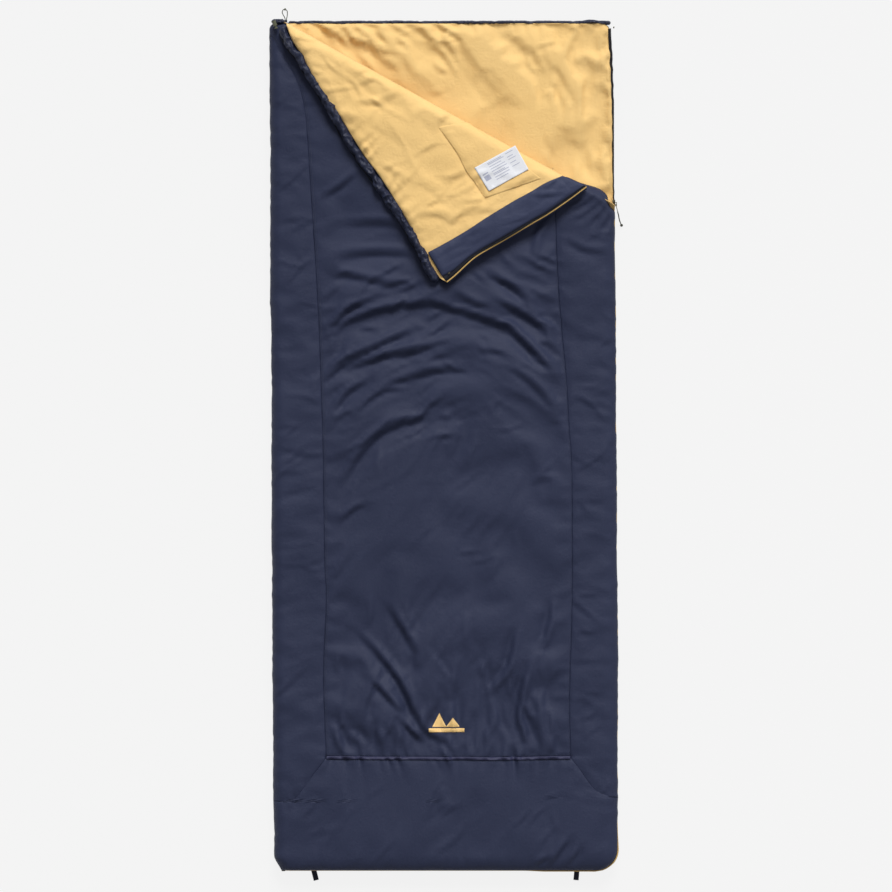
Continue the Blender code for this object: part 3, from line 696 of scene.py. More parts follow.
@dataclass
class Settling:
    """Slack cloth that is held at its seams and blown out until it wrinkles, by a cloth simulation."""

    name: str
    low: tuple[float, float]
    high: tuple[float, float]
    start: list[Feature]
    seams: list[Grid]
    slack: float = 0.020
    push: float = 0.35
    bend: float = 8.0
    step: float = 0.011
    frames: int = 20
    most: float = 0.0085
    crisp: float = 0.75
    strength: Callable[[Grid, Grid], Grid] | None = None

    def _held(self, x: Grid, y: Grid) -> Grid:
        """Which points a seam or the rim holds.

        Args:
            x: the cloth's x.
            y: the cloth's y.

        Returns:
            True at the held points.
        """
        held = np.zeros(x.shape, bool)
        held[0] = held[-1] = True
        held[:, 0] = held[:, -1] = True
        for seam in self.seams:
            held |= np.abs(beside(seam, x, y)[0]) < 0.55 * self.step
        return held

    def _softened(self, z: Grid, cells: float) -> Grid:
        """The heights with their small wrinkles averaged away.

        Args:
            z: the heights.
            cells: how wide the averaging is.

        Returns:
            The softer heights.
        """
        reach = int(3 * cells)
        away = np.arange(-reach, reach + 1)
        kernel = np.exp(-(away**2) / (2 * cells**2))
        kernel /= kernel.sum()
        for _ in range(2):
            wide = np.pad(z, ((reach, reach), (0, 0)), mode="edge")
            z = sum(share * wide[n:n + z.shape[0]] for n, share in enumerate(kernel)).T
        return z

    def _simulated(self, x: Grid, y: Grid, z: Grid) -> Grid:
        """Runs the simulation, and removes its object again.

        Args:
            x: the cloth's x.
            y: the cloth's y.
            z: its first height.

        Returns:
            The height that it settles to.
        """
        sheet = add_mesh(self.name, np.stack((x, y, z), axis=-1).reshape(-1, 3), grid_faces(*x.shape))
        held = sheet.vertex_groups.new(name="held")
        held.add([int(i) for i in np.flatnonzero(self._held(x, y).ravel())], 1.0, "REPLACE")
        cloth = sheet.modifiers.new("settling", "CLOTH")
        settings = {
            "quality": 4, "mass": 0.15, "tension_stiffness": 15.0, "compression_stiffness": 15.0,
            "shear_stiffness": 5.0, "bending_stiffness": self.bend, "air_damping": 2.0,
            "vertex_group_mass": "held", "shrink_min": -self.slack, "use_pressure": True,
            "uniform_pressure_force": self.push,
        }
        for setting, value in settings.items():
            setattr(cloth.settings, setting, value)
        cloth.settings.effector_weights.gravity = 0.0
        cloth.collision_settings.use_collision = False
        cloth.point_cache.frame_start, cloth.point_cache.frame_end = 1, self.frames
        for number in range(1, self.frames + 1):
            bpy.context.scene.frame_set(number)
        settled = sheet.evaluated_get(bpy.context.evaluated_depsgraph_get())
        spots = np.empty(x.size * 3)
        settled.data.vertices.foreach_get("co", spots)
        bpy.context.scene.frame_set(1)
        mesh = sheet.data
        bpy.data.objects.remove(sheet)
        bpy.data.meshes.remove(mesh)
        return spots.reshape(*x.shape, 3)[..., 2]

    def features(self) -> list[Feature]:
        """The wrinkles as features.
        """
        columns = round((self.high[0] - self.low[0]) / self.step) + 1
        rows = round((self.high[1] - self.low[1]) / self.step) + 1
        across, along = np.arange(columns), np.arange(rows)
        x, y = np.meshgrid(self.low[0] + self.step * across, self.low[1] + self.step * along)
        first = Together(self.start, 1.0).at(x, y)
        settled = self._simulated(x, y, first - first.mean())
        wrinkles = settled - 0.85 * self._softened(settled, 0.040 / self.step)
        wrinkles = self.most * np.tanh(1.1 * (wrinkles - wrinkles.mean()) / self.most)
        if self.strength is not None:
            wrinkles = wrinkles * self.strength(x, y)
        LOG.info("%s: heights %.4f to %.4f", self.name, wrinkles.min(), wrinkles.max())
        return [Sampled(self.low, self.step, wrinkles), Together(self.start, self.crisp)]


Edge = Callable[[Grid], Grid]


@dataclass
class Face:
    """One cloth face of a quilt: its level, the height of each of its borders, its relief."""

    level: float
    borders: list[tuple[Grid | Edge, float, float]]
    features: list[Feature] = field(default_factory=list)
    limits: tuple[float, float] = (0.0, 1.0)
    pressed: bool = False

    @staticmethod
    def under_corner(x: Grid, y: Grid) -> Grid:
        """How far points are from lying under the folded corner.

        Args:
            x: the points' x.
            y: the points' y.

        Returns:
            The distance, 0 below the corner.
        """
        away = (x - FOLD_C[0]) * FOLD_IN[0] + (y - FOLD_C[1]) * FOLD_IN[1]
        sides = [-away]
        for line in (CORNER.hem_side, CORNER.zip_side):
            (ax, ay), (bx, by) = line[0], line[-1]
            length = math.hypot(bx - ax, by - ay)
            across = ((bx - ax) * (y - ay) - (by - ay) * (x - ax)) / length
            sides.append(-across if line is CORNER.hem_side else across)
        return np.maximum(np.maximum.reduce(sides), 0.0)

    def height(self, x: Grid, y: Grid) -> Grid:
        """The face's height.

        Args:
            x: the points' x.
            y: the points' y.

        Returns:
            Their z.
        """
        z = np.full(x.shape, self.level)
        for feature in self.features:
            z = z + feature.at(x, y)
        z = np.clip(z, *self.limits)
        if self.pressed:
            free = np.clip(self.under_corner(x, y) / 0.030, 0.0, 1.0)
            z = np.minimum(z, FOLD_Z + 0.0003 + 0.012 * free**0.7)
        for border, rim, reach in self.borders:
            away = x - border(y) if callable(border) else beside(border, x, y)[0]
            inward = np.clip(np.abs(away) / reach, 0.0, 1.0)
            z = rim + (z - rim) * np.sqrt(1 - (1 - inward) ** 2)
        return z


# ---------------------------------------------------------------- mesh work


def add_object(name: str, data: bpy.types.ID) -> bpy.types.Object:
    """Puts an object with this data into the scene."""
    obj = bpy.data.objects.new(name, data)
    bpy.context.scene.collection.objects.link(obj)
    return obj


def add_mesh(
    name: str, points: Grid, faces: Sequence[Sequence[int]], sharp_angle: float = 0.0
) -> bpy.types.Object:
    """Makes an object from points and faces, shaded smooth.

    Args:
        name: the piece's name.
        points: one row for each point.
        faces: the points of each face.
        sharp_angle: edges sharper than this many degrees stay sharp, if it isn't 0.

    Returns:
        The object, linked to the scene.
    """
    mesh = bpy.data.meshes.new(name)
    mesh.from_pydata(np.asarray(points, float).tolist(), [], [list(map(int, f)) for f in faces])
    mesh.shade_smooth()
    if sharp_angle:
        mesh.set_sharp_from_angle(angle=math.radians(sharp_angle))
    return add_object(name, mesh)


def grid_faces(rows: int, columns: int, flip: bool = False, ring: bool = False) -> list[tuple[int, ...]]:
    """The quads of a grid of points.

    Args:
        rows: how many rows of points.
        columns: points in each row.
        flip: whether the quads face the other way.
        ring: whether each row closes on itself.

    Returns:
        The quads.
    """
    faces = []
    for i in range(rows - 1):
        for j in range(columns if ring else columns - 1):
            k = (j + 1) % columns
            quad = (i * columns + j, i * columns + k, (i + 1) * columns + k, (i + 1) * columns + j)
            faces.append(quad[::-1] if flip else quad)
    return faces


def add_cloth(
    name: str, points: Grid, thick: float = CLOTH, offset: float = -1.0, flip: bool = False
) -> bpy.types.Object:
    """Makes cloth from rows of points.

    Args:
        name: the piece's name.
        points: the points in 3-D, row by row.
        thick: the cloth's thickness.
        offset: -1 where the points are its good side, 0 for its middle, 1 for its other side.
        flip: whether it faces the other way.

    Returns:
        The cloth, with its thickness as a modifier.
    """
    rows, columns = points.shape[:2]
    obj = add_mesh(name, points.reshape(-1, 3), grid_faces(rows, columns, flip=flip))
    body = obj.modifiers.new("cloth", "SOLIDIFY")
    body.thickness = thick
    body.offset = offset
    return obj


def graded(start: float, end: float, step: float, fine: float, reach: float) -> Grid:
    """Places from start to end: a step apart, and finer near both ends.

    Args:
        start: the first place.
        end: the last place.
        step: the usual distance.
        fine: the distance near the ends.
        reach: how far from the ends it stays fine.

    Returns:
        The places.
    """
    if end - start < 3 * reach:
        return np.linspace(start, end, max(3, round((end - start) / fine)))
    near = max(2, round(reach / fine))
    middle = max(2, round((end - start - 2 * reach) / step))
    return np.concatenate((
        np.linspace(start, start + reach, near, endpoint=False),
        np.linspace(start + reach, end - reach, middle, endpoint=False),
        np.linspace(end - reach, end, near + 1),
    ))


@dataclass
class Panel:
    """A cloth panel between two edges, in the bag's plan or in the folded corner's."""

    rows: Grid
    left: Edge
    right: Edge
    wide: float
    step: float = 0.005
    fine: float = 0.002
    folded: bool = False

    def plan(self) -> tuple[Grid, Grid]:
        """Where its points lie in plan, row by row.

        Returns:
            Their x and their y.
        """
        share = (graded(0.0, self.wide, self.step, self.fine, 0.012) / self.wide)[None, :]
        low, high = self.left(self.rows)[:, None], self.right(self.rows)[:, None]
        across = low + (high - low) * share
        along = np.repeat(self.rows[:, None], share.shape[1], axis=1)
        if not self.folded:
            return across, along
        spot = FOLD_C + across[..., None] * FOLD_RUN + along[..., None] * FOLD_IN
        return spot[..., 0], spot[..., 1]

    def sewn(self, name: str, face: Face, up: bool) -> bpy.types.Object:
        """Makes the panel.

        Args:
            name: the piece's name.
            face: the face that it follows.
            up: whether its good side is up.

        Returns:
            The panel, as thick as cloth.
        """
        x, y = self.plan()
        return add_cloth(name, np.stack((x, y, face.height(x, y)), axis=-1), flip=not up)


Section = Callable[[Grid, Grid], tuple[Grid, Grid]]


def sweep(name: str, line: Grid, ring: Section, sides: int = 12) -> bpy.types.Object:
    """A closed tube along a line, whose section may change.

    Args:
        name: the piece's name.
        line: the tube's middle, in 3-D.
        ring: gives the offsets to the side and upwards, from the run along it and the angle.
        sides: points round each section.

    Returns:
        The tube.
    """
    heading = np.gradient(line, axis=0)
    heading /= np.linalg.norm(heading, axis=1)[:, None]
    side = np.cross(heading, (0.0, 0.0, 1.0))
    side /= np.linalg.norm(side, axis=1)[:, None]
    up = np.cross(side, heading)
    run = np.concatenate(([0.0], np.cumsum(np.linalg.norm(np.diff(line, axis=0), axis=1))))
    angle = np.linspace(0, 2 * np.pi, sides, endpoint=False)
    out, high = ring(run[:, None] + 0 * angle[None, :], angle[None, :] + 0 * run[:, None])
    points = line[:, None, :] + out[..., None] * side[:, None, :] + high[..., None] * up[:, None, :]
    count = len(line)
    faces = grid_faces(count, sides, ring=True, flip=True)
    faces += [tuple(range(sides)), tuple(reversed(range((count - 1) * sides, count * sides)))]
    return add_mesh(name, points.reshape(-1, 3), faces, 60.0)


def round_section(radius: float, flat: float = 1.0) -> Section:
    """A plain round or oval section, for sweep."""
    return lambda run, angle: (radius * np.cos(angle), radius * flat * np.sin(angle))


def ruched_section(width: float, high: float, pleat: float, deep: float, seed: int) -> Section:
    """A gathered channel's section, whose cloth stands in pleats along its cord.

    Args:
        width: half its width.
        high: half its height.
        pleat: the usual distance between pleats.
        deep: how deep they are, as a share of the radius.
        seed: which random gathering.

    Returns:
        The section, for sweep.
    """

    def section(run: Grid, angle: Grid) -> tuple[Grid, Grid]:
        """The offsets at one place and angle."""
        twist = 0.35 * np.sin(angle + 1.3 * lattice(run / 0.06, 0 * run, seed))
        around = 1.4 * np.cos(angle), 1.4 * np.sin(angle)
        pleats = lattice(run / pleat + twist, around[0], seed + 1)
        pleats = pleats + lattice(run / pleat, around[1] + 5, seed + 4)
        fine = lattice(2.3 * run / pleat - twist, around[1], seed + 5)
        fold = 1 - 1.6 * np.abs(pleats) - 0.6 * np.abs(fine)
        bulge = lattice(run / (4 * pleat), 0.5 + 0 * run, seed + 2)
        size = 1 + deep * fold + 0.10 * bulge
        end = np.minimum(run, run.max() - run)
        size = size * np.sqrt(np.clip(end / (0.8 * width), 0.06, 1.0))
        return width * size * np.cos(angle), high * size * np.sin(angle)

    return section


def many(name: str, template: tuple[Grid, list], places: Grid, headings: Grid) -> bpy.types.Object:
    """Copies a small shape to many places, as one piece.

    Args:
        name: the piece's name.
        template: the shape's points and faces, lying along +X.
        places: where each copy goes.
        headings: the direction of each copy, in 3-D.

    Returns:
        The piece.
    """
    shape, faces = template
    ahead = headings / np.linalg.norm(headings, axis=1)[:, None]
    side = np.cross((0.0, 0.0, 1.0), ahead)
    side /= np.maximum(np.linalg.norm(side, axis=1), 1e-9)[:, None]
    up = np.cross(ahead, side)
    axes = np.stack((ahead, side, up), axis=1)
    points = np.einsum("pk,nkc->npc", shape, axes) + places[:, None, :]
    count = len(shape)
    copied = [[i + n * count for i in quad] for n in range(len(places)) for quad in faces]
    return add_mesh(name, points.reshape(-1, 3), copied, 50.0)


def capsule(length: float, width: float, high: float, sides: int = 6) -> tuple[Grid, list]:
    """A small bar with tapered ends, lying along +X.

    Args:
        length: its length.
        width: its width.
        high: its height.
        sides: points round it.

    Returns:
        Its points and its faces.
    """
    stations = [(-0.5, 0.35), (-0.36, 0.85), (0.0, 1.0), (0.36, 0.85), (0.5, 0.35)]
    turns = np.linspace(0, 2 * np.pi, sides, endpoint=False)
    points = [
        (length * at, width / 2 * size * math.cos(t), high / 2 * size * math.sin(t))
        for at, size in stations
        for t in turns
    ]
    last = len(stations) - 1
    faces = grid_faces(len(stations), sides, ring=True)
    faces += [tuple(reversed(range(sides))), tuple(range(last * sides, (last + 1) * sides))]
    return np.array(points), faces


def stitches(name: str, line: Grid, face: Face, pitch: float) -> bpy.types.Object:
    """A row of stitches along a plan line, lying on a face, in the seam thread.

    Args:
        name: the piece's name.
        line: the row in plan.
        face: the face that it lies on.
        pitch: the distance from one to the next.

    Returns:
        The stitches, as one piece.
    """
    spots = on_face(resample(line, pitch), face, 0.0003)
    made = many(name, capsule(pitch * 0.72, THREAD_WIDE, THREAD_WIDE), spots, np.gradient(spots, axis=0))
    THREAD.dress(made)
    return made


def on_face(plan: Grid, face: Face, proud: float) -> Grid:
    """Lifts a plan line onto a face."""
    return np.column_stack((plan[:, :2], face.height(plan[:, 0], plan[:, 1]) + proud))


def strip(name: str, first: Grid, second: Grid, puff: float) -> bpy.types.Object:
    """A cloth strip between two 3-D lines of as many points, arched by puff.

    Args:
        name: the piece's name.
        first: one edge.
        second: the other edge.
        puff: how far its middle stands up.

    Returns:
        The strip.
    """
    share = np.linspace(0, 1, 7)[None, :, None]
    points = first[:, None, :] * (1 - share) + second[:, None, :] * share
    points[..., 2] += puff * np.sqrt(np.clip(1 - (2 * share[..., 0] - 1) ** 2, 0, 1))
    return add_cloth(name, points, ZIP_CLOTH, 0.0)


# ---------------------------------------------------------------- the bag's plan


@dataclass(frozen=True)
class BagPlan:
    """The outline of both quilts, and the seams of the cover."""

    foot: float = -0.9985
    head: float = 0.9960
    foot_round: float = 0.054
    head_round: float = 0.016
    cut: float = 0.034
    cut_in: float = 0.019
    left_side: Plan = (
        (-0.930, -0.3990), (-0.800, -0.4005), (-0.500, -0.4030), (-0.200, -0.4050),
        (0.130, -0.4040), (0.350, -0.4080), (0.700, -0.4080), (0.990, -0.4100),
    )
    right_side: Plan = (
        (-0.940, 0.4095), (-0.500, 0.4110), (-0.300, 0.4090), (0.000, 0.4068),
        (0.350, 0.4045), (0.600, 0.4025), (0.770, 0.3995), (0.990, 0.3910),
    )
    left_seam: Plan = (
        (-0.4020, 0.9620), (-0.3720, 0.9080), (-0.3430, 0.8560), (-0.3240, 0.7780), (-0.3137, 0.6300),
        (-0.3067, 0.5246), (-0.2950, 0.3320), (-0.2880, 0.1486), (-0.2832, -0.0065),
        (-0.2794, -0.2673), (-0.2755, -0.3613), (-0.2820, -0.5399), (-0.2755, -0.7315),
    )
    right_seam: Plan = (
        (0.2590, 0.6520), (0.2680, 0.4050), (0.2770, 0.2826), (0.2890, 0.1510), (0.2945, 0.0500),
        (0.3015, -0.0700), (0.3020, -0.3600), (0.2960, -0.5820), (0.2990, -0.7315),
    )
    left_mitre: Plan = (
        (-0.2755, -0.7315), (-0.3067, -0.7725), (-0.3325, -0.8078), (-0.3490, -0.8290),
        (-0.3795, -0.8336), (-0.4040, -0.8350),
    )
    right_mitre: Plan = (
        (0.2990, -0.7315), (0.3231, -0.7631), (0.3443, -0.7937), (0.3584, -0.8095),
        (0.3900, -0.8225), (0.4140, -0.8262),
    )
    roll: Plan = (
        (0.2785, 0.6363), (0.2949, 0.6320), (0.3278, 0.6170), (0.3478, 0.6132), (0.3671, 0.6062),
        (0.3835, 0.5928), (0.3866, 0.5787), (0.3913, 0.5646), (0.4030, 0.5541),
    )
    seam_y: float = -0.7315

    def left(self, y: Grid) -> Grid:
        """The folded side.

        Args:
            y: places along it.

        Returns:
            Its x there.
        """
        known = np.array(self.left_side)
        scallop = 0.0008 * lattice(y / 0.0125, 0 * y, 5) + 0.0009 * lattice(y / 0.07, 0 * y, 6)
        x = np.interp(y, known[:, 0], known[:, 1]) + scallop
        x = x + self._rounded(self.head - y, self.head_round)
        low = np.clip(1 - (y - self.foot) / self.cut, 0, 1)
        return x + self.cut_in * low**1.25

    def right(self, y: Grid) -> Grid:
        """The zip side.

        Args:
            y: places along it.

        Returns:
            Its x there.
        """
        known = np.array(self.right_side)
        scallop = 0.0008 * lattice(y / 0.0125, 0 * y, 8) + 0.0009 * lattice(y / 0.08, 0 * y, 9)
        x = np.interp(y, known[:, 0], known[:, 1]) + scallop
        x = x - self._rounded(self.head - y, self.head_round)
        return x - self._rounded(y - self.foot, self.foot_round)

    @staticmethod
    def _rounded(inward: Grid, radius: float) -> Grid:
        """How far a round corner draws a side in."""
        short = np.clip(radius - inward, 0.0, radius)
        return radius - np.sqrt(radius**2 - short**2)

    def folded_x(self, y: Grid) -> Grid:
        """The cover's end towards the fold: the fold line, then the roll at its end, then the side.

        Args:
            y: places along it.

        Returns:
            Its x there.
        """
        roll = np.array(self.roll)
        x = np.interp(y, roll[::-1, 1], roll[::-1, 0]) + 0.0009 * lattice(y / 0.006, 0 * y, 10)
        x = np.where(y > roll[0, 1], self.fold_x(y), x)
        return np.where(y < roll[-1, 1], self.right(y), x)

    def fold_x(self, y: Grid) -> Grid:
        """The fold line's x."""
        return FOLD_C[0] + (y - FOLD_C[1]) * FOLD_RUN[0] / FOLD_RUN[1] - 0.0004

    def rows(self, low: float, high: float, step: float) -> Grid:
        """Rows of points between two heights in plan."""
        return graded(low, high, step, 0.0022, 0.016)

    def left_line(self) -> Grid:
        """The folded side as a line, foot to head."""
        y = graded(self.foot, self.head, 0.03, 0.003, 0.04)
        return np.column_stack((self.left(y), y))

    def right_line(self) -> Grid:
        """The zip side as a line, foot to head."""
        y = graded(self.foot, self.head, 0.03, 0.003, 0.06)
        return np.column_stack((self.right(y), y))

    def end_line(self, y: float) -> Grid:
        """The foot or the head end as a line."""
        return np.array([(float(self.left(np.array(y))), y), (float(self.right(np.array(y))), y)])

    def fold_line(self) -> Grid:
        """The fold as a line, from the zip side to the head."""
        return np.array([FOLD_C - 0.03 * FOLD_RUN, FOLD_C + 0.89 * FOLD_RUN])

    def seam_x(self, seam: Plan, mitre: Plan, side: Edge) -> Edge:
        """A long seam, then its mitre, and the side beyond both ends.

        Args:
            seam: the long seam's points.
            mitre: the mitre's points.
            side: the side that both run out into.

        Returns:
            A function from y to the seam's x.
        """
        line = smooth(seam, 5)[::-1]
        low = np.array(mitre)[::-1]

        def at(y: Grid) -> Grid:
            """The seam's x at y."""
            long = np.interp(y, line[:, 1], line[:, 0])
            short = np.interp(y, low[:, 1], low[:, 0])
            x = np.clip(np.where(y >= self.seam_y, long, short), self.left(y), self.right(y))
            return np.where((y < low[0, 1]) | (y > line[-1, 1]), side(y), x)

        return at


BAG = BagPlan()


@dataclass(frozen=True)
class CornerPlan:
    """The folded corner in its own plan: along the fold from the zip side, and away from it."""

    hem_side: Plan = (
        (-0.3700, 0.9905), (-0.3539, 0.9490), (-0.3305, 0.9139), (-0.3142, 0.8789), (-0.2885, 0.8345),
        (-0.2441, 0.7737), (-0.1904, 0.6873), (-0.1436, 0.6243), (-0.0888, 0.5343),
        (-0.0441, 0.4514), (-0.0175, 0.4070), (-0.0080, 0.3930),
    )
    zip_side: Plan = (
        (0.3352, 0.6080), (0.2920, 0.5760), (0.2464, 0.5448), (0.2067, 0.5215), (0.1717, 0.5005),
        (0.1320, 0.4771), (0.0853, 0.4502), (0.0619, 0.4327), (0.0269, 0.4000), (0.0082, 0.3848),
    )
    band_upper: Plan = (
        (-0.0362, 0.4533), (0.0035, 0.4743), (0.0595, 0.5070), (0.0945, 0.5303), (0.1248, 0.5490),
        (0.1668, 0.5746), (0.2019, 0.5933), (0.2369, 0.6143), (0.2789, 0.6330),
    )
    band_lower: Plan = (
        (-0.0035, 0.3985), (0.0230, 0.4128), (0.0560, 0.4410), (0.0790, 0.4570), (0.1265, 0.4842),
        (0.1660, 0.5070), (0.2020, 0.5280), (0.2430, 0.5510), (0.2890, 0.5830), (0.3290, 0.6110),
    )
    pocket_seam: Plan = (
        (-0.0128, 0.7474), (0.0035, 0.7265), (0.0339, 0.6824), (0.0525, 0.6446), (0.0712, 0.6190),
        (0.0965, 0.5800),
    )
    label: Plan = ((0.0723, 0.6516), (0.1680, 0.7041), (0.1995, 0.6481), (0.1062, 0.5968))

    @staticmethod
    def turned(line: Plan) -> Grid:
        """A plan line as runs along the fold and distances from it."""
        away = np.array(line)[:, :2] - FOLD_C
        return np.column_stack((away @ FOLD_RUN, away @ FOLD_IN))

    def edge(self, line: Plan) -> Edge:
        """One side of the folded corner.

        Args:
            line: the side in the bag's plan.

        Returns:
            A function from the distance to the fold to the run along the fold.
        """
        known = self.turned(smooth(line, 5))
        order = np.argsort(known[:, 1])

        def at(away: Grid) -> Grid:
            """The side's run along the fold."""
            return np.interp(away, known[order, 1], known[order, 0])

        return at


CORNER = CornerPlan()


# ---------------------------------------------------------------- sub-assemblies


def fan(count: int, start: float, end: float, seed: int) -> list[Crease]:
    """Soft upright folds that rise from the foot seam.

    Args:
        count: how many.
        start: the x of the first.
        end: the x of the last.
        seed: which random set.

    Returns:
        The folds.
    """
    draw = np.random.default_rng(seed)
    made = []
    for x in np.linspace(start, end, count):
        tall = draw.uniform(0.04, 0.20)
        lean = draw.uniform(-0.05, 0.05) - 0.15 * x * tall / 0.2
        low = BAG.seam_y + draw.uniform(0.004, 0.03)
        points = (
            (x, low),
            (x + 0.4 * lean + draw.uniform(-0.004, 0.004), low + 0.45 * tall),
            (x + lean, low + tall),
        )
        made.append(Crease(points, draw.uniform(0.0012, 0.0034), draw.uniform(0.006, 0.011), 0.9))
    return made


@dataclass
class BackQuilt:
    """The quilt that lies on the ground: cloth below, lining above."""

    step: float = 0.006

    def lining_face(self) -> Face:
        """The lining, which shows where the corner is folded back.

        Returns:
            The face.
        """
        features: list[Feature] = [
            Ripples(0.0022, 0.22, 0.16, 15, 11),
            Ripples(0.0022, 0.12, 0.030, 96, 12, True, (0.32, 0.78), (0.12, 0.22)),
            Ripples(0.0020, 0.10, 0.032, -52, 13, True, (-0.10, 0.93), (0.25, 0.10)),
            Ripples(0.0009, 0.14, 0.040, 20, 14, True, (0.0, 0.0), (0.5, 0.8)),
            Crease(((0.358, 0.955), (0.371, 0.840), (0.366, 0.720), (0.352, 0.620)), 0.0042, 0.011),
            Crease(((0.338, 0.930), (0.345, 0.850), (0.338, 0.770)), 0.0030, 0.009),
            Crease(((0.380, 0.900), (0.384, 0.800), (0.381, 0.700)), 0.0026, 0.006),
            Crease(((0.222, 0.925), (0.268, 0.878), (0.300, 0.820), (0.309, 0.770)), 0.0040, 0.013),
            Crease(((0.150, 0.960), (0.200, 0.915), (0.228, 0.850)), 0.0024, 0.012),
            Crease(((-0.276, 0.984), (-0.248, 0.955), (-0.215, 0.925)), 0.0034, 0.010),
            Crease(((-0.220, 0.984), (-0.190, 0.945), (-0.150, 0.905)), 0.0026, 0.010),
            Crease(((-0.120, 0.975), (-0.060, 0.935), (0.010, 0.900)), 0.0024, 0.013),
            Crease(((0.060, 0.905), (0.120, 0.870), (0.190, 0.800)), 0.0020, 0.014),
            Crease(((0.290, 0.720), (0.325, 0.690), (0.345, 0.640)), 0.0028, 0.010),
            Gathers(BAG.end_line(BAG.head), 0.0024, 0.013, 0.016, 21),
            Gathers(BAG.right_line()[::6], 0.0018, 0.016, 0.012, 22),
        ]
        features += scatter(34, (-0.14, 0.94), (0.16, 0.06), -50, 28, 0.0034, 0.007, 15)
        features += scatter(26, (0.30, 0.80), (0.09, 0.16), 95, 20, 0.0028, 0.006, 16)
        features += scatter(16, (0.12, 0.88), (0.14, 0.09), 60, 60, 0.0018, 0.007, 17)
        features += scatter(50, (0.0, 0.0), (0.38, 0.75), 30, 80, 0.0016, 0.007, 18)
        borders = [
            (BAG.right, BACK_EDGE, 0.018),
            (BAG.end_line(BAG.head), BACK_EDGE + 0.002, 0.012),
            (BAG.end_line(BAG.foot), BACK_EDGE, 0.018),
            (lambda y: BAG.left(y) + LINING_INSET, HINGE_Z - 0.0008, 0.010),
        ]
        settling = Settling(
            "back_settling", (-0.404, 0.360), (0.394, 0.994), features, [],
            slack=0.035, push=0.20, most=0.0075,
        )
        return Face(BACK_FACE, borders, settling.features(), (0.0165, 0.0325))

    def shell_face(self) -> Face:
        """The outer cloth below, which rests on the ground.

        Returns:
            The face.
        """
        features: list[Feature] = [
            Ripples(0.0009, 0.20, 0.14, 0, 31),
            Ripples(0.0008, 0.12, 0.030, 35, 32, True),
        ]
        borders = [
            (BAG.right, BACK_EDGE, 0.022),
            (BAG.end_line(BAG.head), BACK_EDGE, 0.014),
            (BAG.end_line(BAG.foot), BACK_EDGE, 0.022),
            (BAG.left, HINGE_Z, 0.024),
        ]
        return Face(GROUND, borders, features, (GROUND - 0.0003, 0.0040))

    @staticmethod
    def rows() -> Grid:
        """Rows that fall on those of the cover along the folded side, so that the two cloths meet."""
        panels = CoverQuilt().panels()
        low, side, top = (panels[name].rows for name in ("foot", "left", "centre"))
        return np.unique(np.concatenate((low[low < side[0]], side, top[top > side[-1]])))

    def build(self) -> None:
        """Makes both faces of the quilt."""
        rows = self.rows()
        inside = Panel(
            rows, lambda y: BAG.left(y) + LINING_INSET, lambda y: BAG.right(y) - 0.0006, 0.8, self.step
        )
        lining = inside.sewn("back_quilt_lining", self.lining_face(), True)
        outside = Panel(rows, BAG.left, BAG.right, 0.8, 0.008)
        shell = outside.sewn("back_quilt_shell", self.shell_face(), False)
        LINING.dress(lining)
        SHELL.dress(shell)
        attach(lining, "back")
        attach(shell, "back")
        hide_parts("back_lining", "back_insulation")
        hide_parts("back_shell")
        LOG.info("back quilt: %d and %d points", len(lining.data.vertices), len(shell.data.vertices))


